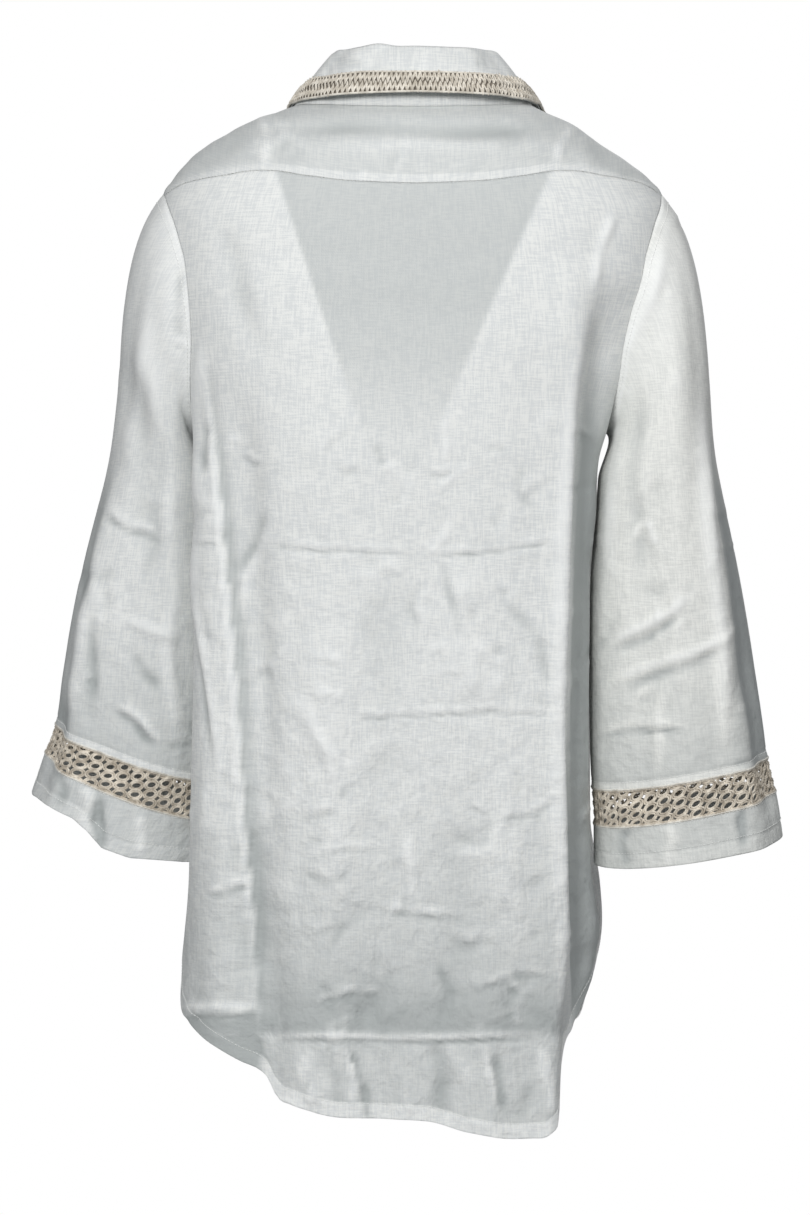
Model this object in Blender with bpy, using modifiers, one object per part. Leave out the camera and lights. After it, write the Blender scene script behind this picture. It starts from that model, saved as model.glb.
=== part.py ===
"""Linen tunic blouse, hollow as if worn, in metres.

+Z is up, +X is the wearer's right and +Y the way the wearer faces. The origin is between the
shoulders at the base of the neck, where the wearer carries the blouse.

The body is a stack of rounded sections. A place on it is an angle round the body (0 at centre
back, 90 at the wearer's right, -90 at the left, 180 at centre front) and a drop below the origin.
A place on a sleeve is a turn round its tube (0 outside, 90 back, 180 inside, 270 front) and a
station along it (0 at the armhole, 5 at the hem).
"""

from collections import namedtuple

import bmesh
import bpy
import numpy as np

# Driving sizes
CLOTH_WALL = 0.0012
OPENWORK_WALL = 0.0022
BRAID_WALL = 0.0022
SEAM_GAP = 0.0007
YOKE_SEAM_GAP = 0.0009

# Armhole: a ring on the body from the shoulder tip to the underarm
SHOULDER_TIP_DROP = 0.066
ARMHOLE_DEPTH = 0.184
ARMHOLE_BACK_INSET = 22.0
ARMHOLE_FRONT_INSET = 24.0
ARMHOLE_SQUARENESS = 0.8

# How the sleeve leaves the armhole, outwards and downwards, at the shoulder tip and the underarm
LEAVE_TIP_OUT = 0.57
LEAVE_TIP_DOWN = 0.65
LEAVE_UNDERARM_OUT = 0.77
LEAVE_UNDERARM_DOWN = 0.35

# Yoke seams, as turns round the armhole where they meet it
BACK_SEAM_TURN = 15.0
FRONT_SEAM_TURN = -30.0
FRONT_SEAM_NECK_ANGLE = 119.0
YOKE_CORNER_SHARE = 0.69

# How finely the pieces are cut, so that seams on both sides have the same points
ARMHOLE_STEP = 15.0
SEAM_COLUMNS = 14
NECK_COLUMNS = 9
YOKE_ROWS = 4
BACK_SIDE_ROWS = 13
FRONT_SIDE_ROWS = 11

# Shares of a panel's height taken by its side seam, and of its half width taken by the V neck
UNDERARM_SHARE = 0.68
FRONT_NECK_SHARE = 0.70

# How closely the rows and columns near the side follow the armhole
SIDE_PULL = 3

# V neck, as seen from the back: its width at the collar and how fast each edge closes
V_TOP_DROP = 0.048
V_TOP_HALF_WIDTH = 0.106
V_LEFT_CLOSING = 0.317
V_RIGHT_CLOSING = 0.450

# Openwork insertion at each cuff
HOLE_COLUMNS = 36
HOLE_ROWS = 4
HOLE_WIDTH_SHARE = 0.56
HOLE_HEIGHT_SHARE = 0.156
HOLE_SLANT_SHARE = 0.028

# Stations of the rings of points along a sleeve and its cuff band
SLEEVE_STATIONS = (0, 0.12, 0.27, 0.45, 0.65, 0.85, 1.05, 1.35, 1.7, 2.05, 2.4, 2.7, 3.0)
CUFF_STATIONS = (4.0, 4.5, 5.0)
CUFF_SEAM_GAP = 0.0008

# Collar
STAND_FOOT_GAP = 0.0005
FOLD_WIDTH = 0.0022
FALL_CROWN = 0.0025
BRAID_HEIGHT_SHARE = 0.40
BRAID_RAISE = 0.0011

# A row for each level of the body: drop below the origin, half widths to the wearer's left and
# right, half depths to the back and front, and how square the section is behind and in front
Level = namedtuple("Level", "drop left right back front back_power front_power")
LEVELS = [
    Level(-0.004, 0.0885, 0.0875, 0.060, 0.062, 2.0, 2.0),
    Level(0.004, 0.1115, 0.1045, 0.064, 0.068, 2.0, 2.0),
    Level(0.011, 0.1305, 0.1205, 0.074, 0.072, 2.0, 2.0),
    Level(0.020, 0.1470, 0.1340, 0.083, 0.077, 2.0, 2.0),
    Level(0.030, 0.1635, 0.1480, 0.090, 0.082, 2.1, 2.0),
    Level(0.043, 0.1780, 0.1670, 0.097, 0.088, 2.2, 2.1),
    Level(0.057, 0.1890, 0.1835, 0.103, 0.094, 2.3, 2.1),
    Level(0.066, 0.1950, 0.1910, 0.106, 0.097, 2.3, 2.2),
    Level(0.090, 0.2000, 0.1990, 0.111, 0.104, 2.4, 2.2),
    Level(0.120, 0.1970, 0.1960, 0.115, 0.111, 2.5, 2.3),
    Level(0.160, 0.1890, 0.1820, 0.119, 0.120, 2.7, 2.4),
    Level(0.200, 0.1820, 0.1670, 0.121, 0.128, 2.8, 2.5),
    Level(0.250, 0.1785, 0.1530, 0.121, 0.133, 2.9, 2.6),
    Level(0.300, 0.1780, 0.1470, 0.119, 0.134, 3.0, 2.7),
    Level(0.400, 0.1775, 0.1450, 0.116, 0.131, 3.1, 2.7),
    Level(0.520, 0.1790, 0.1440, 0.116, 0.128, 3.1, 2.7),
    Level(0.600, 0.1800, 0.1450, 0.117, 0.127, 3.1, 2.7),
    Level(0.660, 0.1800, 0.1400, 0.118, 0.127, 3.1, 2.7),
    Level(0.720, 0.1860, 0.1350, 0.119, 0.128, 3.1, 2.7),
    Level(0.810, 0.1880, 0.1350, 0.120, 0.128, 3.1, 2.7),
]

# A row for each large fold of the body: its line from top to bottom as angle and drop, its half
# width in degrees, how far it stands out (or in, if negative) and the length of its fading ends
Fold = namedtuple("Fold", "name top_angle top_drop bottom_angle bottom_drop half_width height fade")
BODY_FOLDS = [
    Fold("left_arm_hollow", -99, 0.270, -103, 0.580, 13, -0.0360, 0.080),
    Fold("right_arm_hollow", 86, 0.275, 86, 0.575, 13, -0.0140, 0.07),
    Fold("left_back_valley", -54, 0.290, -47, 0.740, 4.5, -0.0110, 0.09),
    Fold("left_back_roll", -63, 0.300, -57, 0.700, 6, 0.0040, 0.09),
    Fold("right_turning_edge", 49, 0.170, 45, 0.790, 4.5, 0.0060, 0.06),
    Fold("right_back_valley", 60, 0.200, 56, 0.760, 5.5, -0.0100, 0.08),
    Fold("back_left_soft_ridge", -30, 0.300, -26, 0.760, 7, 0.0040, 0.16),
    Fold("back_hem_valley", -18, 0.690, -12, 0.790, 4, -0.0050, 0.05),
    Fold("back_hem_ridge", 23, 0.680, 26, 0.790, 5, 0.0045, 0.06),
    Fold("front_left_drape", -150, 0.270, -148, 0.720, 8, 0.0060, 0.08),
    Fold("front_right_drape", 148, 0.270, 152, 0.720, 8, 0.0060, 0.08),
    Fold("front_middle_valley", 178, 0.400, 184, 0.720, 8, -0.0070, 0.10),
    Fold("front_left_valley", -128, 0.260, -126, 0.700, 6, -0.0080, 0.08),
    Fold("front_right_valley", 128, 0.260, 130, 0.700, 6, -0.0080, 0.08),
    Fold("right_front_corner", 108, 0.600, 108, 0.640, 9, 0.0060, 0.05),
]

# A row for each place on a seam or hem: angle round the body and drop
Place = namedtuple("Place", "angle drop")
BACK_YOKE_SEAM = [
    Place(0, 0.0665),
    Place(20, 0.0650),
    Place(40, 0.0600),
    Place(55, 0.0550),
    Place(63, 0.0575),
    Place(72, 0.0605),
    Place(77, 0.0640),
    Place(82.5, 0.0691),
]
NECK_SEAM = [
    Place(0, 0.0040),
    Place(35, 0.0028),
    Place(60, 0.0000),
    Place(90, -0.0020),
    Place(100, 0.0010),
    Place(110, 0.0090),
    Place(119, 0.0200),
    Place(125.7, V_TOP_DROP),
]
BACK_HEM = [
    Place(-90, 0.655),
    Place(-80, 0.682),
    Place(-70, 0.698),
    Place(-60, 0.713),
    Place(-52, 0.729),
    Place(-48, 0.738),
    Place(-45, 0.753),
    Place(-40, 0.759),
    Place(-18, 0.769),
    Place(3, 0.771),
    Place(19, 0.780),
    Place(39, 0.785),
    Place(45, 0.780),
    Place(49, 0.763),
    Place(54, 0.727),
    Place(60, 0.706),
    Place(68, 0.684),
    Place(79, 0.652),
    Place(90, 0.635),
]
# The front hem's angles are measured from centre front, positive to the wearer's right
FRONT_HEM = [
    Place(-90, 0.655),
    Place(-78, 0.693),
    Place(-62, 0.715),
    Place(-40, 0.727),
    Place(0, 0.731),
    Place(40, 0.728),
    Place(62, 0.713),
    Place(78, 0.676),
    Place(90, 0.635),
]

# A row for each ring of a sleeve: station, drop of its middle, distance of its inner and outer
# edges from the body's middle, its centre and half size front to back, how much its outer edge
# rises for its width, and how far its back hangs down
Ring = namedtuple("Ring", "station drop inner outer middle_y half_depth tilt back_drop")
SLEEVE_RINGS = {
    "right": [
        Ring(1, 0.285, 0.1415, 0.2355, -0.010, 0.072, 0.05, 0.000),
        Ring(2, 0.410, 0.1345, 0.2590, -0.012, 0.067, 0.10, 0.003),
        Ring(3, 0.513, 0.1365, 0.2730, -0.014, 0.065, 0.169, 0.006),
        Ring(4, 0.540, 0.1380, 0.2790, -0.014, 0.065, 0.180, 0.007),
        Ring(5, 0.572, 0.1380, 0.2840, -0.014, 0.066, 0.150, 0.008),
    ],
    "left": [
        Ring(1, 0.285, 0.1540, 0.2415, 0.028, 0.072, 0.06, 0.000),
        Ring(2, 0.405, 0.1530, 0.2690, 0.032, 0.067, 0.18, 0.003),
        Ring(3, 0.498, 0.1540, 0.2820, 0.034, 0.065, 0.330, 0.009),
        Ring(4, 0.524, 0.1550, 0.2900, 0.034, 0.065, 0.370, 0.011),
        Ring(5, 0.556, 0.1550, 0.3000, 0.034, 0.066, 0.370, 0.016),
    ],
}
SLEEVE_SIDE = {"right": 1.0, "left": -1.0}

# A row for each large fold of a sleeve: its line as turn and station, its half width in degrees
# and how far it stands out
SleeveFold = namedtuple("SleeveFold", "name top_turn top_station bottom_turn bottom_station half_width height")
SLEEVE_FOLDS = {
    "right": [
        SleeveFold("outer_ridge", 45, 0.9, 50, 5.0, 9, 0.0045),
        SleeveFold("outer_facet", 22, 1.0, 25, 4.0, 10, -0.0040),
        SleeveFold("back_valley", 95, 0.5, 120, 3.0, 12, -0.0050),
        SleeveFold("front_valley", 265, 0.6, 250, 5.0, 12, -0.0060),
        SleeveFold("front_ridge", 300, 0.6, 305, 5.0, 12, 0.0040),
    ],
    "left": [
        SleeveFold("outer_ridge", 40, 0.9, 46, 5.0, 9, 0.0045),
        SleeveFold("outer_facet", 20, 1.0, 24, 4.5, 10, -0.0035),
        SleeveFold("back_valley", 85, 0.5, 75, 3.0, 12, -0.0045),
        SleeveFold("front_valley", 262, 0.6, 255, 5.0, 12, -0.0060),
        SleeveFold("front_ridge", 300, 0.6, 305, 5.0, 12, 0.0040),
    ],
}

# A row for each place along half of the collar, by its angle round the neck seam: the fold at its
# top, and the free lower edge of its fall
CollarPlace = namedtuple("CollarPlace", "angle fold_x fold_y fold_z edge_x edge_y edge_z")
COLLAR = [
    CollarPlace(0, 0.000, -0.0560, 0.0430, 0.0000, -0.0740, 0.0060),
    CollarPlace(30, 0.028, -0.0500, 0.0428, 0.0400, -0.0670, 0.0055),
    CollarPlace(60, 0.054, -0.0300, 0.0430, 0.0750, -0.0440, 0.0045),
    CollarPlace(85, 0.069, 0.0010, 0.0360, 0.0930, -0.0050, 0.0045),
    CollarPlace(100, 0.073, 0.0260, 0.0230, 0.1030, 0.0350, -0.0040),
    CollarPlace(110, 0.083, 0.0430, 0.0050, 0.1240, 0.0680, -0.0330),
    CollarPlace(119, 0.092, 0.0560, -0.0120, 0.1260, 0.0910, -0.0790),
]

COLOURS = {
    "linen": (0.86, 0.87, 0.86, 1.0),
    "braid": (0.55, 0.49, 0.42, 1.0),
    "openwork": (0.58, 0.52, 0.44, 1.0),
}


def smooth(at, places, values):
    """Read a smooth curve through (places, values), which never swings past its points."""
    places, values = np.asarray(places, float), np.asarray(values, float)
    step = np.diff(places)
    rise = np.diff(values) / step
    slope = np.concatenate([rise[:1], np.zeros(len(rise) - 1), rise[-1:]])
    both = rise[:-1] * rise[1:]
    turning = both > 0
    slope[1:-1][turning] = 2 * both[turning] / (rise[:-1] + rise[1:])[turning]
    index = np.clip(np.searchsorted(places, at) - 1, 0, len(step) - 1)
    t = np.clip((at - places[index]) / step[index], 0, 1)
    first = values[index] + t * step[index] * slope[index]
    last = values[index + 1] - (1 - t) * step[index] * slope[index + 1]
    blend = t * t * (3 - 2 * t)
    return first * (1 - blend) + last * blend


def column(rows, name):
    """One named column of a table."""
    return [getattr(row, name) for row in rows]


def read(rows, key, at, name):
    """One column of a table, read smoothly along another."""
    return smooth(at, column(rows, key), column(rows, name))


def ease(t):
    """0 to 1 with soft ends."""
    t = np.clip(t, 0, 1)
    return t * t * (3 - 2 * t)


def mix(a, b, t):
    """Straight mix of a and b."""
    return a + (b - a) * t


def between(value, low, high):
    """Share of the way from low to high, kept from 0 to 1."""
    return np.clip((value - low) / (high - low), 0, 1)


def body_fold_height(angle, drop):
    """How far the folds move the body's face outwards."""
    total = np.zeros_like(angle)
    for fold in BODY_FOLDS:
        along = between(drop, fold.top_drop, fold.bottom_drop)
        middle = mix(fold.top_angle, fold.bottom_angle, along)
        away = (angle - middle + 180) % 360 - 180
        strength = ease((drop - fold.top_drop + fold.fade) / fold.fade)
        strength = strength * ease((fold.bottom_drop + fold.fade - drop) / fold.fade)
        total = total + fold.height * strength * np.exp(-0.5 * (away / fold.half_width) ** 2)
    return total


def body_point(angle, drop):
    """Points on the body's outer face, for arrays of angles and drops."""
    angle, drop = np.broadcast_arrays(np.asarray(angle, float), np.asarray(drop, float))
    across, towards_back = np.sin(np.radians(angle)), np.cos(np.radians(angle))
    sides = {name: read(LEVELS, "drop", drop, name) for name in Level._fields[1:]}
    width = np.where(across >= 0, sides["right"], sides["left"])
    depth = np.where(towards_back >= 0, sides["back"], sides["front"])
    power = np.where(towards_back >= 0, sides["back_power"], sides["front_power"])
    spread = (np.abs(across) / width) ** power + (np.abs(towards_back) / depth) ** power
    reach = spread ** (-1 / power) + body_fold_height(angle, drop)
    return np.stack([reach * across, -reach * towards_back, -drop], -1)


def armhole(turn):
    """The armhole on the wearer's right as angle and drop. Turn 0 is the tip, 90 back, 180 under."""
    turn = np.radians(turn)
    back = np.sin(turn)
    drop = SHOULDER_TIP_DROP + ARMHOLE_DEPTH * (1 - np.cos(turn)) / 2
    inset = np.abs(back) ** ARMHOLE_SQUARENESS
    angle = np.where(back >= 0, 90 - ARMHOLE_BACK_INSET * inset, 90 + ARMHOLE_FRONT_INSET * inset)
    return angle, drop


def panel_place(c, t, hem, top, corner_turn):
    """A place on the back or front panel, as an angle from its own middle and a drop.

    c goes from -1 at the wearer's left side to 1 at the right; t from 0 at the hem to 1 at the top,
    which is top(c). The side edge is the side seam up to the underarm and then the armhole, up to
    corner_turn; how far it bows away from a straight line is shared out over the panel.
    """
    side, m = np.where(c < 0, -1.0, 1.0), np.abs(c)
    top_angle, top_drop = top(c)
    turn = mix(np.sign(corner_turn) * 180, corner_turn, between(t, UNDERARM_SHARE, 1))
    arm_angle, arm_drop = edge_of_armhole(turn)
    corner_angle, corner_drop = edge_of_armhole(corner_turn)
    side_hem = read(hem, "angle", 90 * side, "drop")
    underarm = SHOULDER_TIP_DROP + ARMHOLE_DEPTH
    seam_drop = mix(side_hem, underarm, between(t, 0, UNDERARM_SHARE))
    side_drop = np.where(t > UNDERARM_SHARE, arm_drop, seam_drop)
    bow_angle = arm_angle - mix(90, corner_angle, t)
    bow_drop = side_drop - mix(side_hem, corner_drop, t)
    hem_drop = read(hem, "angle", 90 * c, "drop")
    angle = mix(90 * c, top_angle, t) + side * m**SIDE_PULL * bow_angle
    return angle, mix(hem_drop, top_drop, t) + m**SIDE_PULL * bow_drop


def edge_of_armhole(turn):
    """The armhole as an angle from the middle of the panel it edges, and a drop."""
    angle, drop = armhole(turn)
    return 90 - np.abs(angle - 90), drop


def back_top(c):
    """The back panel's seam with the yoke, as angle and drop."""
    angle = edge_of_armhole(BACK_SEAM_TURN)[0] * c
    return angle, read(BACK_YOKE_SEAM, "angle", np.abs(angle), "drop")


def back_place(c, t):
    """A place on the back panel as angle and drop."""
    return panel_place(c, t, BACK_HEM, back_top, BACK_SEAM_TURN)


def v_edge(side, share):
    """The V neck from its point (share 0) to the yoke seam (share 1), as front angle and drop."""
    closing = V_LEFT_CLOSING + V_RIGHT_CLOSING
    point_drop = V_TOP_DROP + 2 * V_TOP_HALF_WIDTH / closing
    top_drop = read(NECK_SEAM, "angle", FRONT_SEAM_NECK_ANGLE, "drop")
    drop = mix(point_drop, top_drop, share)
    rate = np.where(side > 0, V_RIGHT_CLOSING, V_LEFT_CLOSING)
    x = side * (V_TOP_HALF_WIDTH - rate * (drop - V_TOP_DROP))
    depth = read(LEVELS, "drop", drop, "front")
    low = np.degrees(np.arctan2(x, depth))
    neck = [place for place in NECK_SEAM if place.angle >= 90]
    high = side * (180 - read(neck, "drop", drop, "angle"))
    return np.where(drop > V_TOP_DROP, low, high), drop


def front_top(c):
    """The V neck and the front's seams with the yoke, as front angle and drop."""
    side, m = np.where(c < 0, -1.0, 1.0), np.abs(c)
    neck_angle, neck_drop = v_edge(side, between(m, 0, FRONT_NECK_SHARE))
    corner_angle, corner_drop = v_edge(side, np.ones_like(m))
    arm_angle, arm_drop = edge_of_armhole(FRONT_SEAM_TURN)
    along = between(m, FRONT_NECK_SHARE, 1)
    angle = np.where(along > 0, mix(corner_angle, side * arm_angle, along), neck_angle)
    return angle, np.where(along > 0, mix(corner_drop, arm_drop, along), neck_drop)


def front_place(c, t):
    """A place on the front panel as angle and drop."""
    angle, drop = panel_place(c, t, FRONT_HEM, front_top, FRONT_SEAM_TURN)
    return 180 - angle, drop


def yoke_place(c, t):
    """A place on the yoke, t from 0 at the neck to 1 at the back seam and the armholes."""
    side, m = np.sign(c), np.abs(c)
    neck_angle = FRONT_SEAM_NECK_ANGLE * m
    neck_drop = read(NECK_SEAM, "angle", neck_angle, "drop")
    seam_angle = armhole(BACK_SEAM_TURN)[0] * between(m, 0, YOKE_CORNER_SHARE)
    seam_drop = read(BACK_YOKE_SEAM, "angle", seam_angle, "drop")
    turn = mix(BACK_SEAM_TURN, FRONT_SEAM_TURN, between(m, YOKE_CORNER_SHARE, 1))
    arm_angle, arm_drop = armhole(turn)
    on_seam = m <= YOKE_CORNER_SHARE
    outer_angle, outer_drop = np.where(on_seam, seam_angle, arm_angle), np.where(on_seam, seam_drop, arm_drop)
    return side * mix(neck_angle, outer_angle, t), mix(neck_drop, outer_drop, t)


def ring_point(side, turn, station):
    """Points on a sleeve below its first ring."""
    rings = SLEEVE_RINGS[side]
    sizes = {name: read(rings, "station", station, name) for name in Ring._fields[1:]}
    out, back = np.cos(np.radians(turn)), np.sin(np.radians(turn))
    half = (sizes["outer"] - sizes["inner"]) / 2
    fold = np.zeros_like(out)
    for row in SLEEVE_FOLDS[side]:
        along = between(station, row.top_station, row.bottom_station)
        away = (turn - mix(row.top_turn, row.bottom_turn, along) + 180) % 360 - 180
        strength = ease((station - row.top_station) / 0.6) * ease((row.bottom_station + 0.6 - station) / 0.6)
        fold = fold + row.height * strength * np.exp(-0.5 * (away / row.half_width) ** 2)
    x = (sizes["inner"] + half) + (half + fold) * out
    y = sizes["middle_y"] - (sizes["half_depth"] + fold) * back
    z = -sizes["drop"] + sizes["tilt"] * half * out - sizes["back_drop"] * back
    return np.stack([SLEEVE_SIDE[side] * x, y, z], -1)


def sleeve_point(side, turn, station):
    """Points on a sleeve's outer face, from the armhole (station 0) to the hem (station 5)."""
    turn, station = np.broadcast_arrays(np.asarray(turn, float), np.asarray(station, float))
    low = ring_point(side, turn, np.maximum(station, 1.0))
    angle, drop = armhole(turn)
    start = body_point(SLEEVE_SIDE[side] * angle, drop)
    first = ring_point(side, turn, np.ones_like(turn))
    length = np.linalg.norm(first - start, axis=-1, keepdims=True)
    out = np.cos(np.radians(turn))[..., None]
    under = (1 - out) / 2
    leave_x = SLEEVE_SIDE[side] * mix(LEAVE_TIP_OUT, LEAVE_UNDERARM_OUT, under)
    leave_z = -mix(LEAVE_TIP_DOWN, LEAVE_UNDERARM_DOWN, under)
    leave = np.concatenate([leave_x, 0 * out, leave_z], -1)
    arrive = ring_point(side, turn, np.full_like(turn, 1.2)) - first
    arrive = arrive / np.linalg.norm(arrive, axis=-1, keepdims=True)
    t = np.clip(station, 0, 1)[..., None]
    high = (2 * t**3 - 3 * t**2 + 1) * start + (t**3 - 2 * t**2 + t) * length * leave
    high = high + (3 * t**2 - 2 * t**3) * first + (t**3 - t**2) * length * arrive
    return np.where(station[..., None] < 1, high, low)


def clear_object(thing):
    """Remove one object."""
    bpy.data.objects.remove(thing, do_unlink=True)


def material(name):
    """A plain cloth finish."""
    found = bpy.data.materials.get(name)
    if found:
        return found
    made = bpy.data.materials.new(name)
    made.use_nodes = True
    shader = made.node_tree.nodes["Principled BSDF"]
    shader.inputs["Base Color"].default_value = COLOURS[name]
    shader.inputs["Roughness"].default_value = 0.85
    shader.inputs["Metallic"].default_value = 0.0
    made.diffuse_color = COLOURS[name]
    return made


def trim_border(edge, inside, gap, closed=False):
    """Move the points of one border square to itself, towards the sheet's inside."""
    along = np.gradient(edge, axis=0)
    if closed:
        along[0] = along[-1] = (edge[1] - edge[-2]) / 2
    step = inside - edge
    share = (step * along).sum(-1, keepdims=True) / (along * along).sum(-1, keepdims=True)
    step = step - share * along
    return edge + gap / 2 * step / np.linalg.norm(step, axis=-1, keepdims=True)


def trim_edges(points, side_gap=SEAM_GAP, end_gap=SEAM_GAP):
    """Move a sheet's border in by half a seam's gap, so that it clears its neighbour.

    side_gap is for the first and last column, or None where these join; end_gap is for the first
    and last row.
    """
    trimmed = points.copy()
    for edge, inside in ((0, 1), (-1, -2)):
        trimmed[:, edge] = trim_border(points[:, edge], points[:, inside], end_gap, side_gap is None)
    if side_gap:
        for edge, inside in ((0, 1), (-1, -2)):
            moved = trim_border(points[edge, :], points[inside, :], side_gap) - points[edge, :]
            trimmed[edge, :] += moved
    return trimmed


def sheet(name, finish, points, wall, collection, closed=False, turned=False, holes=None):
    """A wall of cloth on a grid of points, which are its outer face.

    points is an array (columns, rows, 3). closed joins the last column to the first. turned is
    for a grid whose faces point inwards. holes(column, row) is true for a face that is cut out.
    """
    across, up = points.shape[0] - 1, points.shape[1] - 1
    form = bmesh.new()
    bmesh.ops.create_grid(form, x_segments=across, y_segments=up, size=1.0)
    cut = []
    for face in form.faces:
        middle = face.calc_center_median()
        column_index = int((middle.x + 1) / 2 * across)
        row_index = int((middle.y + 1) / 2 * up)
        if holes and holes(column_index, row_index):
            cut.append(face)
    bmesh.ops.delete(form, geom=cut, context="FACES")
    for corner in form.verts:
        i = round((corner.co.x + 1) / 2 * across)
        j = round((corner.co.y + 1) / 2 * up)
        corner.co = points[i, j]
    if closed:
        bmesh.ops.remove_doubles(form, verts=form.verts, dist=1e-6)
    if turned:
        bmesh.ops.reverse_faces(form, faces=form.faces)
    form.normal_update()
    mesh = bpy.data.meshes.new(name)
    form.to_mesh(mesh)
    form.free()
    mesh.shade_smooth()
    thing = bpy.data.objects.new(name, mesh)
    collection.objects.link(thing)
    mesh.materials.append(material(finish))
    thickness = thing.modifiers.new("wall", "SOLIDIFY")
    thickness.thickness = wall
    thickness.offset = -1.0
    thickness.use_quality_normals = True
    return thing


def half_columns(shares):
    """Columns from -1 to 1, made from the half from 0 to 1."""
    return np.concatenate([-shares[:0:-1], shares])


def yoke_shares():
    """Columns of half the yoke and the collar, from centre back to the front seam."""
    steps = round((BACK_SEAM_TURN - FRONT_SEAM_TURN) / ARMHOLE_STEP)
    seam = np.linspace(0, YOKE_CORNER_SHARE, SEAM_COLUMNS + 1)
    return np.concatenate([seam, np.linspace(YOKE_CORNER_SHARE, 1, steps + 1)[1:]])


def grid(place, across, up):
    """The points of place(c, t) on a grid of shares, for c and t arrays."""
    c, t = np.meshgrid(across, up, indexing="ij")
    return place(c, t)


def build_body(collection):
    """Back, front and yoke."""

    def back(c, t):
        return body_point(*back_place(c, t))

    def front(c, t):
        return body_point(*front_place(c, t))

    def yoke(c, t):
        return body_point(*yoke_place(c, t))

    def rows_up(side_rows, corner_turn):
        arm_steps = round((180 - abs(corner_turn)) / ARMHOLE_STEP)
        armhole_rows = np.linspace(UNDERARM_SHARE, 1, arm_steps + 1)
        return np.concatenate([np.linspace(0, UNDERARM_SHARE, side_rows + 1), armhole_rows[1:]])

    columns = half_columns(np.linspace(0, 1, SEAM_COLUMNS + 1))
    rows = rows_up(BACK_SIDE_ROWS, BACK_SEAM_TURN)
    points = trim_edges(grid(back, columns, rows), SEAM_GAP, YOKE_SEAM_GAP)
    sheet("back_panel", "linen", points, CLOTH_WALL, collection)

    neck = np.linspace(0, FRONT_NECK_SHARE, NECK_COLUMNS + 1)
    shoulder = np.linspace(FRONT_NECK_SHARE, 1, YOKE_ROWS + 1)
    columns = half_columns(np.concatenate([neck, shoulder[1:]]))
    rows = rows_up(FRONT_SIDE_ROWS, FRONT_SEAM_TURN)
    points = trim_edges(grid(front, columns, rows), SEAM_GAP, YOKE_SEAM_GAP)
    sheet("front_panel", "linen", points, CLOTH_WALL, collection, turned=True)

    rows = np.linspace(0, 1, YOKE_ROWS + 1)
    points = trim_edges(grid(yoke, half_columns(yoke_shares()), rows), YOKE_SEAM_GAP, YOKE_SEAM_GAP)
    sheet("yoke", "linen", points, CLOTH_WALL, collection, turned=True)


def openwork_points(side, first_turn, last_turn):
    """Half of an insertion: columns of holes with bars between, each hole slanted."""
    columns = HOLE_COLUMNS // 2
    pitch = (last_turn - first_turn) / columns
    solid = pitch * (1 - HOLE_WIDTH_SHARE) / 2
    turns = [first_turn]
    slants = [0.0]
    for index in range(columns):
        start = first_turn + index * pitch
        turns += [start + solid, start + pitch - solid]
        slants += [1.0, -1.0]
    turns.append(last_turn)
    slants.append(0.0)
    bar = (1 - HOLE_ROWS * HOLE_HEIGHT_SHARE) / (HOLE_ROWS + 1)
    heights = [0.0]
    for index in range(HOLE_ROWS):
        start = bar + index * (bar + HOLE_HEIGHT_SHARE)
        heights += [start, start + HOLE_HEIGHT_SHARE]
    heights.append(1.0)
    turn, height = np.meshgrid(turns, heights, indexing="ij")
    slant = np.meshgrid(slants, heights, indexing="ij")[0]
    inner = (height > 0) & (height < 1)
    return sleeve_point(side, turn, 4 - height + slant * HOLE_SLANT_SHARE * inner)


def is_hole(column_index, row_index):
    """Every second face across and up is cut out of the openwork."""
    return column_index % 2 == 1 and row_index % 2 == 1


def build_sleeve(side, collection):
    """Sleeve, openwork insertion in two halves, and cuff band."""
    turned = side == "right"
    turns = np.linspace(0, 360, round(360 / ARMHOLE_STEP) + 1)

    def along(turn, station):
        return sleeve_point(side, turn, station)

    for name, stations in (("sleeve", SLEEVE_STATIONS), ("cuff", CUFF_STATIONS)):
        points = trim_edges(grid(along, turns, np.array(stations[::-1])), None, CUFF_SEAM_GAP)
        sheet(f"{side}_{name}", "linen", points, CLOTH_WALL, collection, closed=True, turned=turned)

    for name, start in (("back", 0.0), ("front", 180.0)):
        points = trim_edges(openwork_points(side, start, start + 180.0))
        name = f"{side}_openwork_{name}"
        sheet(name, "openwork", points, OPENWORK_WALL, collection, turned=turned, holes=is_hole)


def collar_line(angle, name):
    """The collar's fold or free edge, at angles round the neck seam."""
    return np.stack([read(COLLAR, "angle", angle, f"{name}_{axis}") for axis in "xyz"], -1)


def outwards(points):
    """Level directions away from the neck's middle."""
    level = points * np.array([1.0, 1.0, 0.0])
    return level / np.maximum(np.linalg.norm(level, axis=-1, keepdims=True), 1e-6)


def collar_stand_point(angle, t):
    """A point of the collar's stand, t from 0 at the neck seam to 1 at the fold."""
    foot = body_point(angle, read(NECK_SEAM, "angle", angle, "drop")) + np.array([0.0, 0.0, STAND_FOOT_GAP])
    fold = collar_line(angle, "fold")
    return mix(foot, fold - FOLD_WIDTH * outwards(fold), t[..., None])


def collar_fall_point(angle, t):
    """A point of the collar's fall, t from 0 at the free edge to 1 at the fold."""
    edge, fold = collar_line(angle, "edge"), collar_line(angle, "fold")
    crown = 4 * t * (1 - t) * FALL_CROWN
    return mix(edge, fold, t[..., None]) + outwards(edge) * crown[..., None]


def mirror(thing):
    """Make the other half of a piece whose first edge lies on the middle plane."""
    twin = thing.modifiers.new("mirror", "MIRROR")
    twin.use_axis[0] = True
    twin.merge_threshold = 0.0001
    thing.modifiers.move(len(thing.modifiers) - 1, 0)


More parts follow.
